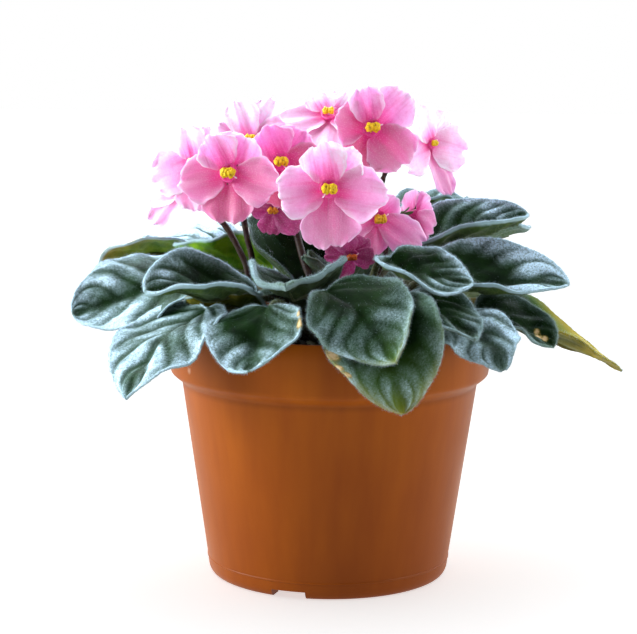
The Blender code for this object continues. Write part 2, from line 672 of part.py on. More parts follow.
def main():
    clear_scene()
    plant = bpy.data.collections.new("potted_african_violet")
    cutters = bpy.data.collections.new("cutters")
    for collection in (plant, cutters):
        bpy.context.scene.collection.children.link(collection)
    plastic = make_material("terracotta_plastic", (0.45, 0.145, 0.03), 0.45)
    peat = make_material("peat", (0.02, 0.014, 0.01), 0.95)
    green = make_material("leaf_green", (0.06, 0.12, 0.07), 0.7)
    crown_green = make_material("crown_brown_green", (0.09, 0.08, 0.04), 0.8)
    stem = make_material("stem_brown_green", (0.12, 0.07, 0.05), 0.6)
    pink = make_material("petal_pink", (0.80, 0.24, 0.44), 0.55)
    yellow = make_material("anther_yellow", (0.80, 0.55, 0.02), 0.6)
    make_pot(plastic, plant, cutters)
    make_soil(peat, plant)
    make_crown(crown_green, plant)
    for spec in LEAVES:
        make_leaf(spec, green, plant)
    for name, (bearing, places) in STALKS.items():
        make_stalk(name, bearing, places, stem, plant)
    for spec in BLOOMS:
        make_corolla(spec, pink, plant)
        make_anthers(spec, yellow, plant)


main()
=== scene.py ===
import math
from functools import partial

import bpy
import numpy as np
from mathutils import Matrix, Vector


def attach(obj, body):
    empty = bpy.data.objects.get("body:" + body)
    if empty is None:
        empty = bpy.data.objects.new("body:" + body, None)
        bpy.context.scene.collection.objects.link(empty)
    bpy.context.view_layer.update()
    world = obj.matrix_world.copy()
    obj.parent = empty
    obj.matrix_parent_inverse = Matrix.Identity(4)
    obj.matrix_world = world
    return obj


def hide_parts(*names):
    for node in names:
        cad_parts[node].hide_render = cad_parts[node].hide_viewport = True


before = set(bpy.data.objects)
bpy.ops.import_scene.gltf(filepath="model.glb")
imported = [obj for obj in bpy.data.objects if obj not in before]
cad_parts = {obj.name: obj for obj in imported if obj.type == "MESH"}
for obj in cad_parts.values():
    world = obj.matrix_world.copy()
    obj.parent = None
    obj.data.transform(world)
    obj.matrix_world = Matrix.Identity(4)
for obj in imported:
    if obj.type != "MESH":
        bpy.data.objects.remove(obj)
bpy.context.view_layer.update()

mm = 0.001
skyward = np.array([0.0, 0.0, 1.0])
tau = 2 * math.pi
print("frame loaded:", len(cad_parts), "nodes")


# Colour and shader helpers

def linearColour(hexCode):
    channels = [int(hexCode[i:i + 2], 16) / 255 for i in (1, 3, 5)]
    return [c / 12.92 if c <= 0.04045 else ((c + 0.055) / 1.055) ** 2.4 for c in channels] + [1.0]


def addNode(tree, kind, *inputs, **settings):
    # adds a node, or sets one that is there: the inputs go into its open sockets in order,
    # and a setting goes into the socket of that name or, if it has none, on the node itself.
    # A value is a number, a hex colour, a node or another node's socket.
    node = tree.nodes.new("ShaderNode" + kind) if isinstance(kind, str) else kind
    named = {socket.name.replace(" ", "").lower(): socket for socket in node.inputs}
    own = {"data_type": "RGBA"} if kind == "Mix" else {}
    own.update((key, value) for key, value in settings.items() if key.lower() not in named)
    for key, value in own.items():
        setattr(node, key, value)
    plugs = list(zip([socket for socket in node.inputs if socket.enabled], inputs))
    plugs += [(named[key.lower()], settings[key]) for key in settings if key not in own]
    for socket, value in plugs:
        if isinstance(value, bpy.types.Node):
            value = next(output for output in value.outputs if output.enabled)
        if isinstance(value, bpy.types.NodeSocket):
            tree.links.new(value, socket)
        else:
            socket.default_value = linearColour(value) if isinstance(value, str) else value
    return node


def newMaterial(name, fields=""):
    # a material with its shader, the function that adds nodes to it, and the named values
    # that its pieces carry from point to point. The place is a vector in millimetres, so a
    # pattern's scale there is 1 over the size in mm of what it draws, and on the object's
    # own coordinates it is 1 over metres.
    material = bpy.data.materials.new(name)
    material.use_nodes = True
    add = partial(addNode, material.node_tree)
    carried = []
    for field in fields.split():
        outputs = add("Attribute", attribute_name=field).outputs
        carried.append(outputs["Vector" if field == "place" else "Fac"])
    return material, material.node_tree.nodes["Principled BSDF"], add, *carried


# Geometry helpers: every piece is put together from parts, each a dictionary of points in
# metres, faces with the number of their material, and named values for the shaders, which
# are one number for the whole part or a row for each point

def unit(vectors):
    size = np.linalg.norm(vectors, axis=-1, keepdims=True)
    return vectors / np.where(size < 1e-12, 1.0, size)


def ripple(points, sizeMm, seed, waves=8):
    # a smooth random field, about -1 to 1, whose waves are about sizeMm long
    draw = np.random.default_rng(seed)
    ways = unit(draw.normal(size=(waves, 3))) / (sizeMm * mm * draw.uniform(0.7, 1.5, (waves, 1)))
    turns = draw.uniform(0, tau, waves)
    return np.sin(points @ ways.T * tau + turns).sum(-1) / math.sqrt(waves)


def gridQuads(rows, columns):
    index = np.arange(rows * columns).reshape(rows, columns)
    corners = (index[:-1, :-1], index[:-1, 1:], index[1:, 1:], index[1:, :-1])
    return np.stack(corners, -1).reshape(-1, 4)


def gridNormals(points):
    normals = unit(np.cross(np.gradient(points, axis=1), np.gradient(points, axis=0)))
    for edge, inner in ((0, 1), (-1, -2)):  # the pinched ends borrow from the next row
        normals[edge] = normals[inner]
    return normals


def evenGrid(rows, columns):
    # t from 0 to 1 along the rows and s from -1 to 1 across them
    return np.meshgrid(np.linspace(0, 1, rows + 1), np.linspace(-1, 1, columns + 1), indexing="ij")


def gridEdge(rows, columns):
    index = np.arange(rows * columns).reshape(rows, columns)
    return np.concatenate([index[0, :-1], index[:-1, -1], index[-1, :0:-1], index[:0:-1, 0]])


def shell(top, bottom, bulgeMm, material, lowerMaterial, fields, rings=1):
    # a thin closed sheet: upper and lower skin, with a rounded edge between them
    rows, columns = top.shape[:2]
    count = rows * columns
    edge = gridEdge(rows, columns)
    upper, lower = top.reshape(-1, 3), bottom.reshape(-1, 3)
    middle, half = (upper[edge] + lower[edge]) / 2, (upper[edge] - lower[edge]) / 2
    run = unit(np.roll(upper[edge], -1, axis=0) - np.roll(upper[edge], 1, axis=0))
    outward = unit(np.cross(run, half))
    turns = np.linspace(0, np.pi, rings + 2)[1:-1]
    lip = [middle + outward * bulgeMm * mm * math.sin(turn) + half * math.cos(turn)
           for turn in turns]

    def overBothSkins(name, values):
        if np.ndim(values) == 0:
            return values
        flat = values.reshape(count, -1)
        # patterns carry on round the lip instead of being drawn out across it
        onward = np.array([0, 0, 1.5]) if name == "place" else 0
        lips = [flat[edge] + onward * turn for turn in turns]
        return np.concatenate([flat, flat + onward * np.pi] + lips)

    quads = gridQuads(rows, columns)
    around = np.arange(len(edge))
    loops = [edge] + [around + 2 * count + len(edge) * i for i in range(rings)] + [edge + count]
    faces = [(quads, material), (quads[:, ::-1] + count, lowerMaterial)]
    for number, (above, below) in enumerate(zip(loops, loops[1:])):
        band = np.stack([above, below, np.roll(below, -1), np.roll(above, -1)], -1)
        faces.append((band, material if number * 2 < rings + 1 else lowerMaterial))
    return {
        "points": np.concatenate([upper, lower] + lip),
        "faces": faces,
        "fields": {name: overBothSkins(name, values) for name, values in fields.items()},
        "edge": (middle, half, outward),
    }


def ringPart(rings, material, fields, flipped=False):
    # a closed solid whose wall joins one ring of points to the next, with a cap at each end
    count, sides = rings.shape[:2]
    index = np.arange(count * sides).reshape(count, sides)
    onward = np.roll(index, -1, axis=1)
    quads = np.stack([index[:-1], onward[:-1], onward[1:], index[1:]], -1).reshape(-1, 4)
    foot, head = index[:1, ::-1], index[-1:]
    if flipped:
        quads, foot, head = quads[:, [0, 3, 2, 1]], foot[:, ::-1], head[:, ::-1]
    faces = [(group, material) for group in (quads, foot, head)]
    return {"points": rings.reshape(-1, 3), "faces": faces, "fields": fields}


def tubePart(points, radii, sides, material):
    # a round stem along the points
    points = np.asarray(points)
    along = unit(np.gradient(points, axis=0))
    side = unit(np.cross(along[0], [0.3, 0.1, 1.0]))
    turn = np.arange(sides)[:, None] * tau / sides
    rings = []
    for place, way, radius in zip(points, along, radii):
        side = unit(side - way * (side @ way))
        rings.append(place + (side * np.cos(turn) + np.cross(way, side) * np.sin(turn)) * radius)
    rings = np.array(rings)
    lengths = np.concatenate([[0], np.cumsum(np.linalg.norm(np.diff(points, axis=0), axis=1))])
    share = np.repeat(lengths / lengths[-1], sides)[:, None]
    part = ringPart(rings, material, {"along": share})
    part["skin"] = part["points"], unit(rings - points[:, None]).reshape(-1, 3)
    return part


def hairPart(roots, ways, lengthMm, radiusMm, material, draw):
    # straight tapered hairs, each a closed three-sided spike
    count = len(roots)
    ways = unit(ways)
    side = unit(np.cross(ways, draw.normal(size=ways.shape)))
    other = np.cross(ways, side)
    length = lengthMm * mm * draw.uniform(0.6, 1.3, (count, 1))
    corners = [roots + (side * math.cos(a) + other * math.sin(a)) * radiusMm * mm
               for a in (0, tau / 3, 2 * tau / 3)]
    points = np.stack(corners + [roots + ways * length], 1).reshape(-1, 3)
    spike = np.array([[0, 1, 3], [1, 2, 3], [2, 0, 3], [0, 2, 1]])
    faces = (np.arange(count)[:, None, None] * 4 + spike).reshape(-1, 3)
    return {"points": points, "faces": [(faces, material)], "fields": {}}


def scatter(points, normals, weights, count, draw):
    # random places on a grid of points, as many on each square as its size and weight ask
    columns = points.shape[1]
    a, b, c = points[:-1, :-1], points[1:, :-1], points[:-1, 1:]
    area = np.linalg.norm(np.cross(b - a, c - a), axis=-1) * weights[:-1, :-1]
    pick = draw.choice(area.size, count, p=area.ravel() / area.sum())
    i, j = np.divmod(pick, columns - 1)
    u, v = draw.uniform(size=(2, count, 1))

    def between(values):
        return ((values[i, j] * (1 - u) + values[i + 1, j] * u) * (1 - v)
                + (values[i, j + 1] * (1 - u) + values[i + 1, j + 1] * u) * v)

    return between(points), unit(between(normals))


def shiftMaterials(part, step):
    return {**part, "faces": [(faces, material + step) for faces, material in part["faces"]]}


def makePiece(name, parts, materials, node):
    # joins the parts into one mesh object that stands for the node
    points = np.concatenate([part["points"] for part in parts])
    names = sorted({key for part in parts for key in part["fields"]})
    starts = np.cumsum([0] + [len(part["points"]) for part in parts])
    loops, counts, slots = [], [], []
    for start, part in zip(starts, parts):
        for faces, material in part["faces"]:
            faces = np.asarray(faces)
            loops.append((faces + start).ravel())
            counts.append(np.full(len(faces), faces.shape[1]))
            slots.append(np.full(len(faces), material))
    loops, counts, slots = (np.concatenate(group) for group in (loops, counts, slots))
    mesh = bpy.data.meshes.new(name)
    mesh.vertices.add(len(points))
    mesh.vertices.foreach_set("co", points.ravel())
    mesh.loops.add(len(loops))
    mesh.loops.foreach_set("vertex_index", loops)
    mesh.polygons.add(len(counts))
    mesh.polygons.foreach_set("loop_start", np.cumsum(counts) - counts)
    mesh.polygons.foreach_set("material_index", slots)
    for key in names:
        values = [np.asarray(part["fields"].get(key, 0.0), np.float32) for part in parts]
        width = max(v.shape[-1] if v.ndim else 1 for v in values)
        kind, target = ("FLOAT", "value") if width == 1 else ("FLOAT_VECTOR", "vector")
        rows = [np.broadcast_to(v, (len(part["points"]), width)) for v, part in zip(values, parts)]
        carried = mesh.attributes.new(key, kind, "POINT")
        carried.data.foreach_set(target, np.concatenate(rows).ravel())
    mesh.update(calc_edges=True)
    mesh.validate()
    mesh.shade_smooth()
    for material in materials:
        mesh.materials.append(material)
    piece = bpy.data.objects.new(name, mesh)
    bpy.context.scene.collection.objects.link(piece)
    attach(piece, "root")
    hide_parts(node)
    return piece


def heading(bearing, rise=0.0):
    # the unit vector towards a bearing, from +X towards +Y, and a rise, in degrees
    turn, lift = math.radians(bearing), math.radians(rise)
    level = math.cos(lift)
    return np.array([math.cos(turn) * level, math.sin(turn) * level, math.sin(lift)])


def bezier(start, leave, arrive, end, count):
    t = np.linspace(0, 1, count + 1)[:, None]
    return (start * (1 - t) ** 3 + leave * 3 * t * (1 - t) ** 2
            + arrive * 3 * t * t * (1 - t) + end * t ** 3)


def smoothThrough(places, steps):
    # a Catmull-Rom curve through the places
    places = np.asarray(places)
    ends = np.concatenate([[places[0] * 2 - places[1]], places, [places[-1] * 2 - places[-2]]])
    t = np.arange(1, steps + 1)[:, None] / steps
    runs = [places[:1]]
    for a, b, c, d in zip(ends, ends[1:], ends[2:], ends[3:]):
        runs.append((b * 2 + (c - a) * t + (a * 2 - b * 5 + c * 4 - d) * t ** 2
                     + (b * 3 - a - c * 3 + d) * t ** 3) / 2)
    return np.concatenate(runs)


# The leaves. Sizes are in millimetres and degrees, and are the frame's own.

leafLook = {
    "halfThickness": 0.42,     # mm at the middle, half of that at the margin
    "veinSpacing": 0.23,       # of the midrib's length from one side vein to the next
    "veinForward": 0.30,       # how far a side vein runs forward on its way out
    "veinCurve": 0.16,
    "veinWidth": 0.9,          # mm
    "quilting": 1.25,          # mm that the blade puffs up between side veins
    "crossVeins": 3.8,         # mm between the small cross veins
    "crossDepth": 0.09,
    "midribDepth": 0.8,
    "fold": 6,                 # degrees that each half stands up from the midrib
    "wobble": 1.15,            # mm of slow unevenness
    "toothSpacing": 3.4,       # mm between the margin's rounded teeth
    "toothDepth": 0.40,
    "marginWave": 0.7,         # mm that the margin rises and falls
    "hairLength": 0.85,
    "hairRadius": 0.025,
    "surfaceHairs": 800,
    "edgeHairs": 1500,
    "petioleHairs": 350,
    "petioleSides": 10,
    "rowSpacing": 0.95,        # mm between the blade's points along the midrib
    "columnSpacing": 1.0,      # and across it
}

leafShapes = {
    # name: base, tip, width, tier, root bearing, then what differs from a plain leaf;
    # a patch of painted highlight, or where it is below zero of painted shade, is (along, across,
    # mm, strength)
    "left_back_low": ((-56, 47, 114), (-91, 37, 111.8), 31, 1, 138, dict(
        fuzz=1.2, arch=4, roll=-25, twist=-25, cup=0, skew=15, age=0.55, glow=0.8, under=0.1)),
    "left_large": ((-50, -2, 114.5), (-95.5, -12, 99.5), 44, 0, 190, dict(
        arch=-0.5, roll=37, twist=28, cup=6, curl=-8, skew=-24, pointed=0.57, quilted=0.85,
        fuzz=0.9, downy=[(0.9, -0.1, 3.4, 0.6), (0.67, 0.42, 2.4, 0.6), (0.74, 0.16, 2.8, -0.5),
        (0.64, -0.23, 3.9, 0.5), (0.81, -0.69, 3.2, 0.5), (0.28, 0.98, 3.2, 0.4)])),
    "left_back_raised": ((-22, 14, 112), (-61, 25, 120), 31, 2, 150, dict(
        arch=-1.5, roll=-40, twist=13, cup=18, curl=15, pointed=0.9, glow=1.0, under=0.0)),
    "back_left_tip": ((-36, 60, 120.5), (-74, 55, 120), 31, 1, 110, dict(
        arch=-1.5, sweep=-6, roll=6, twist=-10, cup=8, pointed=0.56, fuzz=1.8, baseFuzz=1.0,
        under=0.1)),
    "left_cupped": ((-27, -23, 109.5), (-65.3, -45.2, 113.6), 38.8, 2, 210, dict(
        arch=-0.6, sweep=2, roll=7, twist=4, cup=37, curl=33, skew=18, pointed=0.7, broadAt=1.04,
        fuzz=0.35, lip=0.5, rim=1.2, wave=0.4, downy=[(0.57, 0.81, 2.0, 0.7),
        (0.68, 0.76, 2.0, 0.6), (0.78, 0.5, 2.3, 0.7), (0.81, -0.88, 2.4, 0.5)])),
    "left_hanging": ((-45, -31, 105), (-71.5, -63, 78), 43, 0, 215, dict(
        arch=2, sweep=2.5, roll=-7, cup=0, skew=16, pointed=0.92, quilted=0.85, fuzz=0.92,
        baseFuzz=0.75, downy=[(0.36, 0.23, 3.4, 0.5), (0.62, 0.03, 3.4, 0.5),
        (0.15, 0.96, 2.2, 0.5), (0.13, 0.69, 2.3, -0.6), (0.51, -0.53, 1.9, -0.3),
        (0.79, -1.0, 3.0, -0.4), (0.38, 0.69, 2.0, -0.4)])),
    "front_round": ((-22, -52, 108), (-28, -76, 90), 36.5, 0, 245, dict(
        arch=-1, sweep=1.5, roll=-10, cup=12, pointed=0.67, rim=0.8, quilted=0.7, fuzz=0.62,
        baseFuzz=0.5, spots=[(0.42, -0.97, 1.6), (0.3, -1.0, 1.2)], downy=[(0.7, 0.04, 3.6, 0.35),
        (0.3, 0.45, 4.2, -0.5), (0.48, 0.85, 1.9, 0.4), (0.25, -0.5, 2.6, 0.2)])),
    "front_young": ((-8.5, -17.5, 110), (-16, -48.5, 115), 39.5, 2, 240, dict(
        arch=-1, sweep=1, roll=-1, twist=4, cup=64, curl=-24, skew=-7, pointed=1.0, fuzz=0.1,
        baseFuzz=0.6, rim=0.75, under=0.2, plump=1.3, lip=1.05, downy=[(0.3, 1.0, 2.4, 0.3),
        (0.6, 1.0, 2.4, 0.3)])),
    "front_broad": ((-1.5, -53, 115), (22.5, -80, 93.5), 39, 1, 266, dict(
        sweep=-3, roll=-30, twist=-26, cup=1, curl=21, pointed=0.94, neck=0.03, rim=0.45,
        quilted=0.65, age=0.2, fuzz=0.5, baseFuzz=0.25, downy=[(0.61, -0.46, 3.2, 0.1),
        (0.58, 0.11, 2.9, 0.15), (0.33, 0.74, 2.7, 0.3), (0.2, -0.46, 4.5, -0.3)])),
    "front_hanging": ((18, -51, 108.5), (25, -77, 76), 42, 0, 285, dict(
        arch=4, sweep=3, roll=-14, twist=20, cup=2, curl=8, skew=-10, pointed=0.6, rim=0.4,
        age=0.32, quilted=0.6, fuzz=0.42, baseFuzz=0.3, spots=[(0.36, 1.0, 1.3), (0.5, 0.94, 2.2),
        (0.62, 1.0, 1.2), (0.68, 0.97, 1.0)], downy=[(0.76, -0.04, 3.0, 0.35),
        (0.44, -0.32, 3.8, -0.3)])),
    "right_cupped": ((21.5, -26, 123.5), (50.5, -36.5, 115.5), 32, 2, 325, dict(
        arch=-2, sweep=2, roll=-22, twist=-30, curl=-10, skew=9, pointed=0.67, fuzz=0.5,
        lip=0.4, rim=1.2, wave=0.4, downy=[(0.2, 0.31, 2.3, 0.5), (0.67, 0.23, 2.3, 0.7),
        (0.87, -0.7, 2.0, 0.6), (0.42, -0.63, 2.9, -0.3)])),
    "right_inner_low": ((30, -38, 110.5), (50.5, -56.5, 99), 27, 1, 305, dict(
        arch=-1, sweep=-3, cup=6, curl=27, skew=-14, pointed=0.9, rim=0.8, fuzz=0.35,
        downy=[(0.64, -0.56, 2.2, 0.5), (0.25, -0.7, 3.2, -0.4)])),
    "right_large": ((40, -6.5, 114), (87.5, -12.5, 112.5), 40, 1, 352, dict(
        arch=-2, sweep=-4.5, roll=-30, twist=-8, cup=34, curl=13, skew=15, pointed=0.66,
        fuzz=0.75, lip=0.4, rim=1.2, wave=0.3, downy=[(0.4, -1.0, 3.6, 1.1),
        (0.58, -0.95, 3.8, 1.2), (0.74, -0.7, 3.2, 0.8), (0.64, 0.4, 4.4, 0.9),
        (0.9, -0.04, 2.8, 0.6), (0.33, -0.4, 4.8, -0.5)])),
    "right_front_low": ((33.5, -32.5, 101), (60.5, -57, 88), 29, 0, 314, dict(
        arch=4, sweep=-6, roll=-20, twist=-15, cup=-7, pointed=0.6, rim=0.6, quilted=0.7,
        fuzz=0.95, baseFuzz=0.65, downy=[(0.73, 0.56, 3.0, 0.3)])),
    "right_dark": ((55.5, -15.5, 101), (82, -21.5, 91), 30, 0, 342, dict(
        arch=1, sweep=-3.5, roll=-13, cup=8, curl=23, skew=-11, rim=0.7, fuzz=0.05,
        spots=[(0.72, -0.15, 1.1), (0.78, 0.05, 1.3), (0.85, -0.1, 1.2), (0.8, 0.35, 1.0)],
        downy=[(0.78, 0.7, 2.0, 0.35)])),
    "right_long": ((67.5, 14.5, 99.5), (113, 22, 74.5), 36, 0, 10, dict(
        arch=-2, sweep=2, roll=-7, twist=8, pointed=0.61, age=1.0, rim=0.5, wave=0.2,
        quilted=0.5, fuzz=0.05, under=0.0)),
    "right_back_upper": ((34.5, 23.5, 123.5), (75.5, 28.5, 135), 34.5, 2, 30, dict(
        arch=-2, roll=-23, cup=46, curl=7, skew=19, pointed=0.58, fuzz=0.75, quilted=1.25,
        lip=0.4, rim=1.1, wave=0.5, downy=[(0.71, -0.6, 1.9, 0.6),
        (0.76, -0.21, 1.7, 0.6), (0.5, 0.83, 2.0, 0.5)])),
    "back_right_upper": ((29, 59, 134), (54.5, 71.5, 135.5), 30, 2, 60, dict(
        arch=-1, twist=-21, cup=22, pointed=0.57, fuzz=0.35, glow=0.8,
        downy=[(0.7, -0.82, 2.4, 0.4), (0.93, -0.48, 2.4, 0.7)])),
    "right_back_low": ((47, 37, 116.5), (79, 53, 124), 31, 1, 38, dict(
        arch=1.5, cup=37, curl=37, skew=19, pointed=0.58, fuzz=0.6, glow=0.2, under=0.6)),
    "left_under": ((-26.5, -14, 100.5), (-52.5, -26, 108), 27, 1, 198, dict(
        arch=-2, roll=-25, twist=-15, cup=24, curl=21, skew=8, age=0.7, fuzz=0.1, under=0.0)),
    "inner_back": ((-10.5, 9, 108), (-14.5, 29, 137.5), 40, 3, 125, dict(
        sweep=-4, cup=37, skew=-9, pointed=0.6, rim=0.5, fuzz=0.1, under=0.1)),
    "back_upper_left": ((-14, 42, 121), (-25, 86, 118), 36, 2, 118, dict(arch=2)),
    "back_upper_right": ((22, 38, 122), (34, 80, 121), 36, 3, 75, dict(arch=2)),
    "back_middle": ((5, 42, 112), (10, 92, 104), 44, 1, 85, dict(arch=4)),
    "back_left_low": ((-27, 46, 101), (-50, 86, 86), 42, 0, 120, dict(arch=4)),
    "back_right_low": ((30, 44, 102), (60, 84, 84), 42, 0, 55, dict(arch=4)),
}
plainLeaf = dict(
    arch=0, sweep=0, roll=0, twist=0, cup=25, curl=0, skew=0, neck=0.25, pointed=0.72, broadAt=0.72,
    rim=1.0, wave=1.0, quilted=1.0, fuzz=0.4, baseFuzz=0.12, age=0.1, glow=0.1, under=0.06,
    plump=1.0, lip=0.25, spots=[], downy=[])

crownLook = {
    "radius": 9.0 * mm,
    "foot": 74.0 * mm,
    "top": 106.0 * mm,
    "tierHeights": (90.5, 94.8, 99, 103),  # mm at which petioles leave the crown
    "tierRises": (12, 28, 45, 62),         # degrees above level as they leave it
    "stalkFoot": 99.5 * mm,
    "stalkRise": 60,
    "sides": 48,
    "hairs": 500,
    "youngLeaf": dict(cup=75, fuzz=0.2, baseFuzz=0.6, under=0.3, plump=0.8, quilted=0.4, rim=0.3),
    # bearing, length in mm and rise of each new leaf about the growing tip
    "newLeaves": ((225, 20, 62), (322, 19, 58), (24, 32, 40), (130, 19, 64), (252, 13, 75),
                  (62, 14, 72), (215, 28, 6)),
}


def readLeaf(name):
    base, tip, width, tier, root, own = leafShapes[name]
    leaf = {**plainLeaf, **own, "width": width * mm, "tier": tier, "root": root}
    leaf["base"], leaf["tip"] = np.array(base) * mm, np.array(tip) * mm
    leaf["length"] = np.linalg.norm(leaf["tip"] - leaf["base"])
    chord = unit(leaf["tip"] - leaf["base"])
    aside = unit(np.cross(chord, skyward))
    above = np.cross(aside, chord)
    bow = (above * leaf["arch"] + aside * leaf["sweep"]) * 2 * mm
    leaf["control"] = (leaf["base"] + leaf["tip"]) / 2 + bow
    return leaf


def midribAt(leaf, t):
    # place, right-hand side, upper side and direction along the midrib
    base, control, tip = leaf["base"], leaf["control"], leaf["tip"]
    u = np.maximum(t, 0)[..., None]
    behind = np.minimum(t, 0)[..., None]
    place = (base * (1 - u) ** 2 + control * 2 * u * (1 - u) + tip * u * u
             + (control - base) * 2 * behind)
    along = unit((control - base) * (1 - u) + (tip - control) * u)
    aside = unit(np.cross(along, skyward))
    above = np.cross(aside, along)
    roll = np.radians(leaf["roll"] + leaf["twist"] * (t - 0.5))[..., None]
    right = aside * np.cos(roll) + above * np.sin(roll)
    return place, right, above * np.cos(roll) - aside * np.sin(roll), along


def bladeBreadth(leaf, t):
    swell = np.sin(np.pi * np.clip(t, 0, 1) ** leaf["broadAt"]).clip(0)
    return swell ** (0.55 * (1 - t) + leaf["pointed"] * t)


def bladeSurface(leaf, t, s):
    # the smooth blade; t runs along the midrib, s from -1 on the left margin to 1
    breadth = bladeBreadth(leaf, t)
    middle, right, above, _ = midribAt(leaf, t - 0.10 * s * s * breadth * (1 - t) ** 2)
    side = np.where(s > 0, 1.0, -1.0)
    turn = np.radians(leaf["cup"] + leaf["skew"] * side + leaf["curl"] * t) * 2 / leaf["width"]
    turn = np.where(np.abs(turn) < 1e-6, 1e-6, turn)
    reach = np.abs(s) * leaf["width"] / 2 * breadth
    out, rise = np.sin(turn * reach) / turn, (1 - np.cos(turn * reach)) / turn
    fold = math.radians(leafLook["fold"])
    ahead, lift = math.cos(fold), math.sin(fold)
    out, rise = out * ahead - rise * lift, rise * ahead + out * lift
    rise = rise + mm * leaf["wave"] * breadth * s * s * np.sin(11 * t + 2 * side)
    return middle + right * (side * out)[..., None] + above * rise[..., None]


def quilting(leaf, t, s, half, seed):
    # relief in mm, and how high on the relief each point is from 0 in a vein to 1
    look = leafLook
    reach = np.abs(s) * half / mm
    lengthMm = leaf["length"] / mm
    flow = t - look["veinForward"] * np.abs(s) - look["veinCurve"] * s * s
    row = flow / look["veinSpacing"] + np.where(s > 0, 0.35, 0.0)
    row = (row + 0.22 * np.sin(2.6 * s + 5.1 * t + seed)
           + 0.10 * np.sin(7.0 * t - 4.0 * s + 2 * seed))
    offVein = np.abs(row - np.round(row))
    veinMm = offVein * look["veinSpacing"] * lengthMm * 0.8
    strength = 0.7 + 0.3 * np.sin(2.4 * np.floor(row) + 3 * np.sign(s) + seed)
    fading = 1 - 0.6 * np.clip((np.abs(s) - 0.55) / 0.45, 0, 1)
    puff = strength * fading * np.sin(np.pi * offVein) ** 0.9 * np.clip(reach / 4.0, 0, 1)
    vein = np.exp(-(veinMm / look["veinWidth"]) ** 2) * np.clip(reach / 1.5, 0, 1)
    cross = (reach / look["crossVeins"] + 0.5 * np.mod(np.floor(row + 0.5), 2)
             + 0.25 * np.sin(5 * row))
    offCross = np.abs(cross - np.round(cross)) * look["crossVeins"]
    crossVein = np.exp(-(offCross / 0.55) ** 2) * np.clip(reach / 4.0, 0, 1)
    midrib = np.exp(-(reach / 1.4) ** 2)
    inward = np.clip((1 - np.abs(s)) * half / mm / 4.0, 0, 1) ** 0.8
    relief = look["quilting"] * (puff - 0.45 - 0.25 * vein) * inward
    relief = (relief - look["crossDepth"] * crossVein * inward
              - look["midribDepth"] * midrib * (1 - t) ** 0.5)
    height = np.clip(0.3 + 0.7 * puff - 0.3 * vein - 0.12 * crossVein - 0.6 * midrib, 0, 1)
    return relief * leaf["quilted"], 1 - min(1, leaf["quilted"]) * (1 - height)


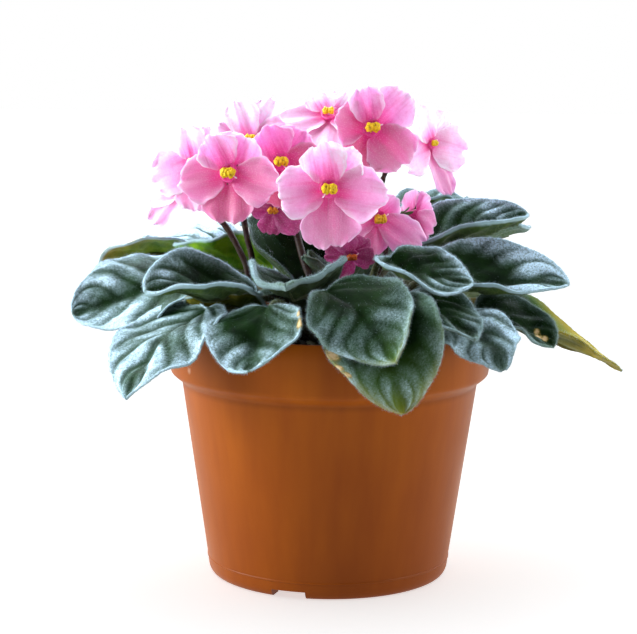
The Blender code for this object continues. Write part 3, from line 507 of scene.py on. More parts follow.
def bladeParts(leaf, seed, rows=None, columns=None, hairShare=1.0):
    look = leafLook
    draw = np.random.default_rng(seed)
    rows = rows or max(44, round(leaf["length"] / mm / look["rowSpacing"]))
    columns = columns or 2 * max(16, round(leaf["width"] / mm / 2 / look["columnSpacing"]))
    even = np.linspace(0, 1, rows + 1)
    along = (0.35 * even + 0.65 * (1 - np.cos(np.pi * even)) / 2) * 0.996  # a blunt tip
    across = np.sin(np.linspace(-1, 1, columns + 1) * np.pi / 2 * 0.92) / math.sin(np.pi / 2 * 0.92)
    t, s = np.meshgrid(along, across, indexing="ij")
    half = leaf["width"] / 2 * bladeBreadth(leaf, t)
    lengthMm = leaf["length"] / mm
    teeth = 1 - np.abs(np.sin(np.pi * (t * lengthMm * 1.15 + 0.8 * s) / look["toothSpacing"]))
    widen = 1 + (0.5 - teeth) * look["toothDepth"] * mm / np.maximum(half, 3 * mm) * np.abs(s) ** 6
    surface = bladeSurface(leaf, t, s * widen)
    normals = gridNormals(surface)
    ends = np.clip((t - 0.93) / 0.07, 0, 1)[..., None]  # no slit where the margins meet
    normals = unit(normals * (1 - ends) + normals[:, columns // 2][:, None] * ends)
    relief, height = quilting(leaf, t, s, half, seed)
    inside = np.clip((1 - np.abs(s)) * half / mm / 4.0, 0, 1)
    slow = ripple(surface.reshape(-1, 3), 22, seed).reshape(t.shape) * look["wobble"]
    slow = slow + ripple(surface.reshape(-1, 3), 9, seed + 50).reshape(t.shape) * 0.3 * inside
    marginTurn = t * lengthMm / 2.1 + 3 * np.sign(s) + seed
    slow = slow + look["marginWave"] * leaf["wave"] * np.abs(s) ** 4 * np.sin(marginTurn)
    rimNear = np.exp(-(1 - np.abs(s)) * half / mm / 1.7)
    thick = look["halfThickness"] * leaf["plump"] * (0.5 + 0.5 * inside) + leaf["lip"] * rimNear * (
        1 + 0.25 * ripple(surface.reshape(-1, 3), 4, seed + 70).reshape(t.shape))
    rib = 0.55 * np.exp(-(np.abs(s) * half / mm / 1.3) ** 2) * (1 - t)
    shift = ((relief + slow) * mm)[..., None]
    top = surface + normals * (shift + (thick * mm)[..., None])
    bottom = surface + normals * (shift - ((thick + rib) * mm)[..., None])
    spots = np.zeros(t.shape)
    for spotT, spotS, radius in leaf["spots"]:
        away = np.hypot((t - spotT) * lengthMm, (s - spotS) * half / mm)
        spots = np.maximum(spots, np.exp(-(away / radius) ** 2))
    place = np.stack([s * half / mm, t * lengthMm, np.full(t.shape, seed * 7.0)], -1)
    # how pale the hairs make the skin: paler towards the tip and margin and darker towards the base
    # and midrib, partly real and partly painted shade; paler on the ridges and darker in the
    # grooves, again partly painted shade; in streaks that run with the side veins; in each leaf's
    # patches of painted highlight and painted shade; and lower on leaves that sit in shade, whose
    # fuzz is set low
    outwards = np.clip((t - 0.1) / 0.6, 0, 1) ** 1.3
    coat = leaf["fuzz"] * (leaf["baseFuzz"] + (1 - leaf["baseFuzz"]) * outwards)
    coat = coat * (0.5 + 0.6 * np.abs(s) ** 1.5)
    # patches of painted highlight, and of painted shade where the strength is below zero
    for patchT, patchS, radius, strength in leaf["downy"]:
        away = np.hypot((t - patchT) * lengthMm, (s - patchS) * half / mm)
        coat = coat + 0.8 * strength * np.exp(-(away / radius / 1.7) ** 2)
    flow = (t - look["veinForward"] * np.abs(s)) * lengthMm
    flow = np.stack([flow, place[..., 0] * 0.3, place[..., 2]], -1).reshape(-1, 3)
    streak = ripple(flow * mm, 3.6, seed + 90).reshape(t.shape)
    coat = np.maximum(coat, 0.0) * (0.18 + 1.15 * height ** 1.8) * (1 + 0.22 * streak)
    values = {"place": place, "rim": rimNear * leaf["rim"], "scorch": spots, "coat": coat,
              "glow": leaf["glow"],
              "age": leaf["age"] * (0.05 + 1.1 * t ** 1.5) * (1 + 1.5 * rimNear),
              "under": leaf["under"] * (0.4 + 0.6 * np.exp(-(1 - np.abs(s)) * half / mm / 5))}
    bulge = 0.18 * leaf["plump"] + leaf["lip"]
    blade = shell(top, bottom, bulge, 0, 1, values, rings=3)
    blade["spine"] = t[:, 0], bottom[:, columns // 2], gridNormals(bottom)[:, columns // 2]
    weight = 0.1 + 1.5 * coat.clip(0, 1) + 1.2 * rimNear
    count = round(look["surfaceHairs"] * hairShare * (1 - 0.6 * leaf["age"]))
    roots, ways = scatter(top, gridNormals(top), weight, count, draw)
    ways = ways + 0.55 * draw.normal(size=ways.shape) * [1, 1, 0.6]
    # and the margin's own hairs, all round its lip
    middle, across, outward = blade["edge"]
    count = round(look["edgeHairs"] * hairShare * (1 + 0.6 * leaf["lip"]))
    size = np.linalg.norm(np.roll(middle, -1, axis=0) - middle, axis=1)
    pick = draw.choice(len(middle), count, p=size / size.sum())
    slide = draw.uniform(size=(count, 1))
    turn = draw.uniform(0.1, 0.8, (count, 1)) * np.pi
    start, up, out = (line[pick] * slide + np.roll(line, -1, axis=0)[pick] * (1 - slide)
                      for line in (middle, across, outward))
    onRing = start + out * bulge * mm * np.sin(turn) + up * np.cos(turn)
    edgeWays = unit(out) * np.sin(turn) + unit(up) * np.cos(turn)
    edgeWays = edgeWays + 0.35 * draw.normal(size=onRing.shape)
    length, radius = look["hairLength"], look["hairRadius"]
    return [blade, hairPart(roots, ways, length * 0.6, radius, 2, draw),
            hairPart(onRing, edgeWays, length, radius, 2, draw)]


def petioleParts(leaf, seed, spine):
    look = leafLook
    draw = np.random.default_rng(seed + 500)
    rise = crownLook["tierRises"][leaf["tier"]]
    lift = crownLook["tierHeights"][leaf["tier"]] * mm
    seat = crownLook["radius"] + 0.3 * mm + 1.8 * mm * math.sin(math.radians(rise))
    start = heading(leaf["root"]) * seat + skyward * lift
    size = np.linalg.norm(leaf["base"] - start)
    leave = start + heading(leaf["root"], rise) * size * 0.45
    # it runs on beneath the blade as the midrib's rounded keel
    under = np.linspace(0, 0.75, 14)
    places, ways = (np.stack([np.interp(under, spine[0], line[:, axis]) for axis in range(3)], -1)
                    for line in spine[1:])
    keel = places - unit(ways) * (0.45 * (1 - under) ** 0.8 * mm)[:, None]
    arrive = keel[0] - unit(leaf["control"] - leaf["base"]) * size * leaf["neck"]
    route = bezier(start, leave, arrive, keel[0], 16)
    points = np.concatenate([route, keel[1:]])
    share = np.linspace(0, 1, len(route))
    radii = np.concatenate([1.8 - 0.8 * share, 1.0 * (1 - under[1:]) ** 0.8]) * mm
    swelling = 1 + 0.05 * np.sin(np.linspace(0, 19, len(radii)) + seed)
    stem = tubePart(points, radii * swelling, look["petioleSides"], 3)
    stem["fields"]["age"] = leaf["age"]
    skin, outward = stem["skin"]
    pick = draw.integers(0, len(route) * look["petioleSides"], look["petioleHairs"])
    ways = outward[pick] + 0.4 * draw.normal(size=(len(pick), 3))
    hairs = hairPart(skin[pick] + 0.3 * mm * draw.normal(size=(len(pick), 3)) * 0.4, ways,
                     0.8, 0.03, 2, draw)
    return [stem, hairs]


def leafVelvet():
    # a leaf blade's upper skin: dark green cells under fine white hairs, which give pale blue-grey
    # ridges and margins, partly painted highlight, and a soft bloom where it turns away
    material, shader, add, place, age, coat, rim, scorch = newMaterial(
        "leafVelvet", "place age coat rim scorch")
    # patches of cells 6 mm across, the pebbling between the smallest veins, and tufts of
    # hair, drawn coarse enough to show
    mottle = add("TexNoise", place, scale=1 / 6.0, detail=4.0, roughness=0.55)
    pores = add("TexNoise", place, scale=1 / 0.9, detail=3.0, roughness=0.7)
    nap = add("TexNoise", place, scale=1 / 0.4, roughness=0.6)
    green = add("Mix", add("MapRange", mottle, 0.35, 0.65), "#071A07", "#15300E")
    # old green goes light first, then yellow
    green = add("Mix", add("MapRange", age, 0.12, 0.4), green, "#48661A")
    green = add("Mix", add("MapRange", age, 0.25, 0.85), green, "#9C8A1C")
    patch = add("TexNoise", place, scale=1 / 5.0, detail=4.0, roughness=0.65)
    coat = add("Math", coat, add("MapRange", patch, 0.3, 0.7, 0.85, 1.2), operation="MULTIPLY")
    rim = add("Math", rim, add("MapRange", age, 0.2, 1.0, 0.58, 0.15), operation="MULTIPLY")
    tufts = add("MapRange", add("Math", pores, nap), 0.75, 1.25, 0.62, 1.38)
    coverAndLight = add("Math", add("Math", coat, rim), 0.82, operation="MINIMUM")
    coverAndLight = add("Math", coverAndLight, tufts, operation="MULTIPLY")
    coverAndLight = add("MapRange", coverAndLight, 0.07, 0.92)  # bare between the tufts, white on the ridges
    # paler where the hairs lie thicker and where painted highlight lies; its palest blue-white is a
    # painted reflection of the sky
    colour = add("Mix", coverAndLight, green, add("Mix", coverAndLight, "#6A8A72", "#C8E4F4"))
    scorch = add("Math", scorch, add("MapRange", pores, 0.3, 0.7, 0.6, 1.4), operation="MULTIPLY")
    burn = add("Mix", add("MapRange", scorch, 0.35, 0.8), "#8C7A2C", "#DDBE8E")
    colour = add("Mix", add("MapRange", scorch, 0.15, 0.5), colour, burn)
    relief = add("Bump", height=pores, distance=0.18 * mm)
    relief = add("Bump", height=nap, distance=0.10 * mm, normal=relief)
    add(shader, baseColor=colour, roughness=0.6, ior=1.42, specularIorLevel=0.08, sheenWeight=0.03,
        sheenRoughness=0.3, sheenTint="#BFE0F2", normal=relief)
    return material


def leafUnderside():
    # the lower skin: paler and yellower than the top, and on some leaves a brighter green that is
    # painted light coming through it
    material, shader, add, place, glow, age, under, rim = newMaterial(
        "leafUnderside", "place glow age under rim")
    pores = add("TexNoise", place, scale=1 / 0.9, detail=3.0, roughness=0.55)
    net = add("TexVoronoi", place, feature="DISTANCE_TO_EDGE", scale=1 / 3.0)  # of small veins
    patches = add("TexNoise", place, scale=1 / 5.0, detail=3.0, roughness=0.55)
    patches = add("MapRange", patches, 0.35, 0.65)
    wide = add("TexNoise", place, scale=1 / 7.0, detail=3.0, roughness=0.55)
    green = add("Mix", add("MapRange", wide, 0.4, 0.6), "#3F6A0A", "#6B9414")
    # glow: painted light, a brighter green where daylight would come through the leaf
    colour = add("Mix", glow, add("Mix", patches, "#233310", "#3F5119"), green)
    old = add("Mix", patches, "#6E6A1C", "#A99A38")
    colour = add("Mix", add("MapRange", age, 0.2, 0.9), colour, old)
    veins = add("MapRange", net.outputs["Distance"], 0.0, 0.10, 0.12, 0.0)
    colour = add("Mix", veins, colour, "#8C9A5A")
    tufts = add("Math", pores, add("TexNoise", place, scale=1 / 0.4, roughness=0.55))
    tufts = add("MapRange", tufts, 0.75, 1.25, 0.5, 1.5)
    down = add("Math", add("Math", under, tufts, operation="MULTIPLY"), 0.6, operation="MULTIPLY")
    coverAndLight = add("Math", down, add("MapRange", rim, 0.5, 0.97, 0.0, 0.8), use_clamp=True)
    colour = add("Mix", coverAndLight, colour, "#A6C4CC")
    add(shader, baseColor=colour, roughness=0.6, ior=1.42, specularIorLevel=0.12, sheenWeight=0.06,
        sheenRoughness=0.4, sheenTint="#CFE2DC",
        normal=add("Bump", height=pores, distance=0.15 * mm))
    return material


def plantHair():
    # clear cellulose hairs, which scatter light and look milky white
    material, shader, add = newMaterial("plantHair")
    coords = add("TexCoord").outputs["Object"]
    shade = add("TexNoise", coords, scale=1 / (1.1 * mm), detail=1.0)
    colour = add("Mix", shade, "#87A0A4", "#B5CAD2")
    add(shader, baseColor=colour, roughness=0.5, ior=1.47)
    return material


def petioleFlesh():
    # a juicy round leaf stem: brownish green, hairy, a little redder towards the crown
    material, shader, add, along, age = newMaterial("petioleFlesh", "along age")
    coords = add("TexCoord").outputs["Object"]
    spots = add("TexNoise", coords, scale=1 / (1.6 * mm), detail=3.0)
    colour = add("Mix", along, "#3A2A1C", "#45552F")
    colour = add("Mix", add("MapRange", spots, 0.45, 0.7, 0.0, 0.5), colour, "#6F7B55")
    colour = add("Mix", add("MapRange", age, 0.3, 1.0, 0.0, 0.5), colour, "#7C6A2A")
    add(shader, baseColor=colour, roughness=0.5, ior=1.42, specularIorLevel=0.25, sheenWeight=0.15,
        sheenRoughness=0.35, sheenTint="#CFDCD2",
        normal=add("Bump", height=spots, distance=0.2 * mm))
    return material


leafMaterials = [leafVelvet(), leafUnderside(), plantHair(), petioleFlesh()]
for number, name in enumerate(leafShapes):
    leaf = readLeaf(name)
    parts = bladeParts(leaf, number + 1)
    parts += petioleParts(leaf, number + 1, parts[0]["spine"])
    makePiece("leafPiece_" + name, parts, leafMaterials, "leaf_" + name)
print("leaves grown:", len(leafShapes))


# The blooms

bloomLook = {
    "rows": 22,
    "columns": 28,
    "halfThickness": 0.14,     # mm; a petal is a quarter of a millimetre thick
    "rootShare": 0.40,         # width at the petal's root next to its widest
    "widestAt": 0.64,
    "taper": 0.36,
    "rounding": 0.14,
    "root": 2.4,               # mm from the bloom's axis to the petal's root
    "reach": 20.0,             # mm at which dish and reflex count in full
    "dish": 3.5,
    "reflex": 1.5,
    "layers": (2, 0, 1, 0, 1),
    "layerGap": 0.95,          # mm from one layer to the next
    "lower": (0.0, 0.1, 0.75, 1.0, 0.7),  # how much each petal has the lower petals' colour
    "ruffle": 0.95,            # mm of waving at the petals' edges
    "fold": 0.48,              # mm of the soft folds that run out from the throat
    "outline": 0.07,           # share of a petal's length that its edge wanders
    "throatRadius": 3.4,
    "throatHeight": 2.3,
    "throatSides": 20,
    "tubeLength": 3.0,
    "antherHalf": (1.5, 1.9, 1.35),
    "antherRings": 16,
    "antherSides": 22,
}

bloomShapes = {
    # name: throat in mm, bearing, rise, stalk, petals (bearing, length, width), finish, whose pale
    # is painted backlight, warm partly painted shade and deep painted shade
    "front": ((-1, -36, 149), 270, 4, "centre",
        [(-10, 16.5, 17), (31, 16.5, 15.5), (98, 20.5, 20), (179, 21.5, 21.5), (264, 18.5, 19.5)],
        dict(pale=0.45, hood=3.0, style=215)),
    "front_left": ((-37, -23, 153), 262, 8, "left",
        [(-27, 14.5, 16), (24, 15, 18), (105, 19, 18), (178, 18.5, 19), (256, 18, 18)],
        dict(pale=0.25, warm=0.6, deep=0.06, hood=1.0, style=120)),
    "middle": ((-19, -8, 155.5), 278, 16, "left_inner",
        [(-21, 14, 17), (35, 15, 16), (94, 16.5, 17), (177, 17.5, 18), (266, 15, 17)],
        dict(core=0.95, pale=0.06, warm=1.0, deep=0.12, style=150)),
    "left": ((-50.5, 8, 154), 245, 8, "left",
        [(-19, 14, 15), (25, 15, 14), (94, 18, 17), (175, 18.5, 18), (247, 18.5, 19)],
        dict(core=0.85, pale=0.55)),
    "top_right": ((14.5, 4, 168), 280, 8, "right",
        [(-13, 15.5, 14), (48, 19, 18), (138, 19, 21), (195, 17.5, 18), (286, 14, 18)],
        dict(pale=0.28, warm=0.8, deep=0.17, style=75)),
    "right_side": ((37, 24, 161), 316, 5, "right",
        [(-29, 16, 15), (45, 15, 14), (103, 19.5, 19), (155, 22.5, 12.5), (251, 19, 17)],
        dict(core=0.62, pale=0.6)),
    "top": ((-1, 34, 170), 262, 50, "centre",
        [(-29, 11, 14), (23, 13, 14), (105, 18, 18), (177, 22, 21), (252, 18.5, 18)],
        dict(core=0.85, pale=0.8)),
    "top_left": ((-31, 30, 160), 266, 38, "left_inner",
        [(-21, 19, 14), (20, 21, 15), (70, 17, 15), (174, 16.5, 17), (296, 15, 16)],
        dict(core=0.85, pale=0.5)),
    "lower_right": ((16.5, -17, 137), 292, -8, "right_low",
        [(-45, 13, 13), (45, 10, 11), (122, 21, 14), (193, 15, 14), (258, 15, 13)],
        dict(core=0.9, pale=0.3, deep=0.15, ripe=0.4)),
    "right_low": ((30, 3, 135.5), 30, -5, "right_low",
        [(-50, 10, 12.5), (30, 10, 12), (112, 12.5, 12), (190, 13, 13), (250, 13, 12)],
        dict(core=0.7, pale=0.25, deep=0.4)),
    "lowest": ((7, -22, 124.5), 280, -25, "right_low",
        [(-24, 9.5, 9), (45, 8.5, 9), (105, 9, 9.5), (203, 11.5, 10), (280, 10, 9)],
        dict(core=0.7, pale=0.0, deep=1.0, ripe=1.0)),
    "inner_shade": ((-21.5, -6, 139), 268, -15, "left_inner",
        [(-29, 8.5, 9), (35, 9, 9), (130, 13, 10), (185, 10.5, 10), (275, 8.5, 9)],
        dict(core=0.7, pale=0.0, deep=0.95, ripe=0.7)),
    "far_left": ((-58.5, 32, 141.5), 228, -5, "left",
        [(-62, 20, 12.5), (20, 16, 15), (95, 18, 16), (228, 20.5, 13), (265, 17, 13)],
        dict(core=0.55, pale=0.9)),
}
plainBloom = dict(core=1.0, pale=0.2, warm=0.0, deep=0.0, ripe=0.0, hood=0.0, style=60)


def readBloom(name):
    centre, bearing, rise, stalk, petals, own = bloomShapes[name]
    bloom = {**plainBloom, **own, "stalk": stalk, "petals": petals}
    bloom["centre"] = np.array(centre) * mm
    bloom["forward"] = heading(bearing, rise)
    bloom["right"] = unit(np.cross(skyward, bloom["forward"]))
    bloom["up"] = np.cross(bloom["forward"], bloom["right"])
    return bloom


def onBloom(bloom, x, y, z):
    # a place in the bloom's own axes, in mm: right and up across its face, and forward
    flat = np.stack(np.broadcast_arrays(x, y, z), -1) * mm
    return bloom["centre"] + flat @ np.array([bloom["right"], bloom["up"], bloom["forward"]])


def sheetOn(bloom, angle, out, aside, ahead, halfThickness, fields):
    # a petal or sepal that leaves the axis at this angle, all in mm
    x = math.sin(angle) * out + math.cos(angle) * aside
    y = math.cos(angle) * out - math.sin(angle) * aside
    surface = onBloom(bloom, x, y, ahead)
    lift = gridNormals(surface) * halfThickness[..., None] * mm
    return shell(surface + lift, surface - lift, 0.05, 0, 0, fields)


def petalPart(bloom, number, seed):
    look = bloomLook
    bearing, length, width = bloom["petals"][number]
    angle = math.radians(bearing)
    t, s = evenGrid(look["rows"], look["columns"])
    swell = np.sin(np.pi / 2 * np.minimum(1, t / look["widestAt"])) ** 0.75
    past = np.maximum(0, (t - look["widestAt"]) / (1 - look["widestAt"]))
    half = width / 2 * (look["rootShare"] + (1 - look["rootShare"]) * swell)
    half = half * (1 - look["taper"] * past ** 2)
    draw = np.random.default_rng(seed)
    phase = draw.uniform(0, tau, 6)
    edgeWave = (np.sin(3.2 * s + phase[0]) * 0.6 + np.sin(7.5 * s + phase[1]) * 0.35
                + np.sin(15 * s + phase[2]) * 0.18 + np.sin(29 * s + phase[5]) * 0.10)
    root = look["root"] * bloom["core"]
    out = root + ((length - root) * t * (1 - look["rounding"] * s * s * t)
                  * (1 + look["outline"] * edgeWave * t ** 3))
    half = half * (1 + 0.05 * np.sin(7 * t + phase[2] + 2 * np.sign(s))
                   + 0.025 * np.sin(19 * t + phase[3] + s))
    reach = np.hypot(out, half * s) / look["reach"]
    ahead = look["dish"] * reach ** 1.4 - look["reflex"] * reach ** 4
    ahead = ahead + look["layerGap"] * look["layers"][number]
    side = np.abs(s) ** 2
    ruffle = (np.sin(5 * t + 2.5 * s + phase[3]) * side + np.sin(6.5 * s + phase[4]) * t ** 2 * 0.8
              + np.sin(13 * t + phase[5]) * side ** 2 * 0.45
              + np.sin(14 * s + phase[0]) * t ** 6 * 0.4) * t
    folds = np.cos(np.pi * 2.2 * s + phase[5] * 0.3 + t) * (1 - 0.4 * side)
    folds = folds * np.sin(np.pi * np.clip(t * 0.9, 0, 1))
    hood = bloom["hood"] * (number < 2) * t ** 2.2
    scale = min(1.0, length / 17)
    ahead = ahead + (look["ruffle"] * ruffle + look["fold"] * folds) * scale + hood
    thick = look["halfThickness"] * (0.55 + 0.45 * (1 - side))
    fromEdge = np.minimum((1 - np.abs(s)) * half, (1 - t) * (length - root))
    place = np.stack([s * half, out, np.full(t.shape, seed * 3.7)], -1)
    values = {"place": place, "throat": reach * look["reach"] / bloom["core"],
              "edge": np.exp(-fromEdge / 1.6), "lower": look["lower"][number], **petalTintsAndPaintedLight(bloom)}
    return sheetOn(bloom, angle, out, half * s, ahead, thick, values)


def petalTintsAndPaintedLight(bloom):
    return {key: bloom[key] for key in ("pale", "warm", "deep")}


def corollaParts(bloom, seed):
    core = bloom["core"]
    look = bloomLook
    parts = [petalPart(bloom, number, seed * 10 + number) for number in range(5)]
    # the throat, turned about the bloom's axis; each point is (radius, forward) in mm
    deep, cup = look["throatRadius"] * core, look["throatHeight"]
    radius, ahead = np.array([
        (1.6 * core, -look["tubeLength"]), (1.7 * core, -1.2), (0.8 * deep, 0.2),
        (deep * 1.02, cup - 0.35), (deep, cup + 0.05), (0.8 * deep, cup - 0.3),
        (0.45 * deep, cup - 1.1), (0.05, cup - 1.3),
    ]).T[:, :, None]
    turn = np.arange(look["throatSides"]) * tau / look["throatSides"]
    rings = onBloom(bloom, radius * np.cos(turn), radius * np.sin(turn), ahead)
    values = {"throat": np.repeat(radius, len(turn))[:, None], "place": rings.reshape(-1, 3) / mm,
              "lower": 0.5, **petalTintsAndPaintedLight(bloom)}
    parts.append(ringPart(rings, 0, values))
    # the thin curved style that stands beside the anthers
    angle = math.radians(bloom["style"])
    run = np.linspace(0, 1, 9)
    away = (0.8 + 3.1 * run) * core
    lift = cup - 0.6 + (2.4 * np.sin(run * 2.2)) * core
    points = onBloom(bloom, math.sin(angle) * away, math.cos(angle) * away, lift)
    radii = np.array([0.28, 0.26, 0.24, 0.22, 0.21, 0.20, 0.20, 0.26, 0.22]) * mm * core
    parts.append(tubePart(points, radii, 7, 1))
    return parts


def antherParts(bloom, seed):
    # two swollen pollen sacs side by side, granular, with a brown seam and painted shade in the
    # dips
    look = bloomLook
    core = bloom["core"]
    halfX, halfY, halfZ = (size * core for size in look["antherHalf"])
    turn = np.arange(look["antherSides"]) * tau / look["antherSides"]
    rise = np.linspace(-np.pi / 2, np.pi / 2, look["antherRings"])
    rise, turn = np.meshgrid(rise, turn, indexing="ij")
    ball = np.stack([np.cos(rise) * np.cos(turn), np.cos(rise) * np.sin(turn), np.sin(rise)], -1)
    flat = ball.reshape(-1, 3) * 4 * mm
    parts = []
    for side in (-1, 1):
        lumps = ripple(flat, 3.2, seed * 3 + side + 7).reshape(rise.shape)
        grains = ripple(flat, 1.1, seed * 3 + side + 90, 14).reshape(rise.shape)
        swell = 1 + 0.14 * lumps + 0.10 * grains
        groove = 1 - 0.22 * np.exp(-(ball[..., 0] / 0.22) ** 2) * (ball[..., 2] > 0)
        size = (swell * groove)[..., None] * ball * [halfX * 1.05, halfY, halfZ]
        tilt = side * 0.18
        x = size[..., 0] * math.cos(tilt) - size[..., 1] * math.sin(tilt) + side * 0.75 * halfX
        y = size[..., 0] * math.sin(tilt) + size[..., 1] * math.cos(tilt)
        z = size[..., 2] + look["throatHeight"] + halfZ + 0.3
        points = onBloom(bloom, x, y, z)
        # a real brown seam in the groove, and painted shade in the low places between the lumps
        dips = 0.5 - 0.3 * lumps - 0.3 * grains + 1.8 * (1 - groove)
        values = {"place": points.reshape(-1, 3) / mm, "dips": dips.reshape(-1, 1),
                  "ripe": bloom["ripe"]}
        sac = ringPart(points, 0, values)
        parts.append({**sac, "faces": sac["faces"][:1]})  # its ends are points and need no caps
    # the short pale filament that carries them
    foot, top = (onBloom(bloom, 0, 0, look["throatHeight"] + z) for z in (-0.9, halfZ))
    radii = np.array([0.5, 0.45, 0.45, 0.5]) * mm * core
    parts.append(tubePart(np.linspace(foot, top, 4), radii, 8, 1))
    return parts


def petalSkin():
    # a petal: thin wet cells like tiny lenses, so it glitters, with painted glints, and lets light
    # through; pink, paler at its edge, with deep magenta running out of the throat in streaks
    material, shader, add, place, throat, edge, pale, lower, warm, deep = newMaterial(
        "petalSkin", "place throat edge pale lower warm deep")
    stretched = add("Mapping", place, scale=(1.0, 0.10, 1.0))
    streaks = add("TexNoise", stretched.outputs["Vector"], scale=1 / 1.2)
    wash = add("MapRange", add("TexNoise", place, scale=1 / 6.0, roughness=0.55), 0.3, 0.7)
    # the lower petals and the warm blooms are a darker, warmer pink: partly their own tint, partly
    # painted shade
    upperPink = add("Mix", wash, "#FF6CC6", "#FF88D4")
    lowerPink = add("Mix", wash, "#BA4F82", "#CA6594")
    colour = add("Mix", lower, upperPink, lowerPink)
    warm = add("Math", warm, add("MapRange", lower, 0.0, 1.0, 0.15, 1.0), operation="MULTIPLY")
    colour = add("Mix", warm, colour, "#C83C6C")
    # paler outwards, partly the petal's own paler edge and partly painted backlight, most of all on
    # the upper petals and the pale blooms that the light comes through, with a thin pale line along
    # every edge that is partly painted highlight
    outer = add("Math", edge, 0.6, operation="MULTIPLY")
    outer = add("Math", add("MapRange", throat, 6.0, 18.0), outer)
    fade = add("Math", outer, add("Math", pale, 0.18), operation="MULTIPLY")
    fade = add("Math", fade, add("Math", pale, 0.3, operation="MULTIPLY"))
    fade = add("Math", fade, add("MapRange", lower, 0.0, 1.0, 1.4, 0.35), operation="MULTIPLY")
    fade = add("Math", fade, add("MapRange", edge, 0.45, 1.0, 0.0, 0.2), use_clamp=True)
    colour = add("Mix", fade, colour, "#FBE6FA")
    # magenta: full inside 4 mm of the axis, gone by 9 mm, longer along the streaks
    longer = add("MapRange", streaks, 0.35, 0.7, 0.0, 3.0)
    reachOut = add("Math", add("Math", throat, longer, operation="SUBTRACT"), lower)
    heart = add("MapRange", reachOut, 1.5, 8.5, 1.0, 0.0)
    heart = add("Math", add("Math", heart, 1.2, operation="POWER"), 0.9, operation="MULTIPLY")
    colour = add("Mix", heart, colour, "#DC1F86")
    lines = add("MapRange", streaks, 0.5, 0.72, 0.0, 0.28)
    colour = add("Mix", lines, colour, "#D8508F")
    # painted shade: the petals of blooms that sit in shade go towards a dark magenta
    colour = add("Mix", add("Math", deep, 0.8, operation="MULTIPLY"), colour, "#7C1E52")
    blotch = add("TexNoise", place, scale=1 / 1.4, detail=3.0, roughness=0.7)
    colour = add("Mix", add("MapRange", blotch, 0.45, 0.7, 0.0, 0.22), colour, "#D2559C")
    # the lenses of the skin, too fine to show and so drawn 0.5 mm across, each with a painted white
    # glint
    cells = add("TexVoronoi", place, scale=1 / 0.5)
    glint = add("MapRange", cells.outputs["Distance"], 0.0, 0.4, 0.22, 0.0)
    colour = add("Mix", glint, colour, "#FFF2FB")
    relief = add("Bump", height=streaks, distance=0.14 * mm)
    relief = add("Bump", height=cells.outputs["Distance"], distance=0.06 * mm, normal=relief)
    # a painted glow: it gives off a little light of its own colour, which stands in for the
    # daylight that comes through from behind
    add(shader, baseColor=colour, roughness=0.48, ior=1.4, subsurfaceWeight=0.5,
        subsurfaceRadius=(1.0, 0.6, 0.85), subsurfaceScale=1.0 * mm, sheenWeight=0.1,
        sheenRoughness=0.4, sheenTint="#FFE6F6", emissionColor=colour, emissionStrength=0.10,
        normal=relief)
    return material


def styleFlesh():
    # the style: a clear fleshy thread, pale pink
    material, shader, add, along = newMaterial("styleFlesh", "along")
    colour = add("Mix", along, "#E7A0C4", "#F5DCEB")
    add(shader, baseColor=colour, roughness=0.35, ior=1.4)
    return material


def pollenSac():
    # ripe anthers: dusty yellow grains over a brown seam, with painted shade in the dips between
    # the lumps
    material, shader, add, place, dips, ripe = newMaterial("pollenSac", "place dips ripe")
    dust = add("TexVoronoi", place, scale=1 / 0.4)  # grains drawn 0.4 mm across, so they show
    colour = add("Mix", add("MapRange", dust.outputs["Distance"], 0.1, 0.6), "#FFE81E", "#F2C200")
    # brown along the seam and, as painted shade, in the dips
    colour = add("Mix", add("MapRange", dips, 0.65, 1.25, 0.0, 0.85), colour, "#96580A")
    colour = add("Mix", ripe, colour, "#B8560C")
    add(shader, baseColor=colour, roughness=0.6, ior=1.45,
        normal=add("Bump", height=dust.outputs["Distance"], distance=0.15 * mm))
    return material


bloomMaterials = [petalSkin(), styleFlesh()]
antherMaterials = [pollenSac(), bloomMaterials[1]]
for number, name in enumerate(bloomShapes):
    bloom = readBloom(name)
    node = "bloom_" + name
    makePiece("corolla_" + name, corollaParts(bloom, number + 1), bloomMaterials, node)
    makePiece("pollenSacs_" + name, antherParts(bloom, number + 1), antherMaterials,
              node + "_anthers")
print("blooms opened:", len(bloomShapes))


# The flower stalks

stalkLook = {
    "branchRadius": 0.75,     # mm
    "calyxLength": 3.5,
    "sepalLength": 6.0,
    "sepalWidth": 1.7,
    "hairs": 450,
}
stalkRoutes = {
    # radius, bearing at the crown, then the places it passes and where it forks, all in mm
    "left": (1.15, 187, [(-28, -5, 107), (-32, -3, 118), (-38, 0, 129), (-43, 2, 135)]),
    "left_inner": (1.15, 168, [(-26, 3, 110), (-30.5, 6, 122), (-33, 9, 134), (-32, 11, 140)]),
    "centre": (1.45, 283, [(-7, -10, 112), (-14, 2, 135), (-11, 6, 147)]),
    "right": (1.3, 95, [(4, 14, 118), (15, 16, 138), (20, 15, 149)]),
    "right_low": (1.3, 357, [(15, -2, 110), (20, -3, 120)]),
}


def sepalPart(bloom, angle):
    # one narrow sepal, clasping the tube and spreading behind the petals
    look = stalkLook
    core = bloom["core"]
    t, s = evenGrid(11, 6)
    half = look["sepalWidth"] / 2 * core * np.sin(np.pi * (0.12 + 0.86 * t)) ** 0.8
    out = (1.55 + 2.5 * t ** 1.5) * core + 0.25 * s * s
    ahead = -3.4 + look["sepalLength"] * 0.72 * core * t - 0.5 * t ** 2
    values = {"along": 0.75 + 0.25 * t, "green": 1.0}
    return sheetOn(bloom, angle, out, half * s, ahead, np.full(t.shape, 0.18), values)


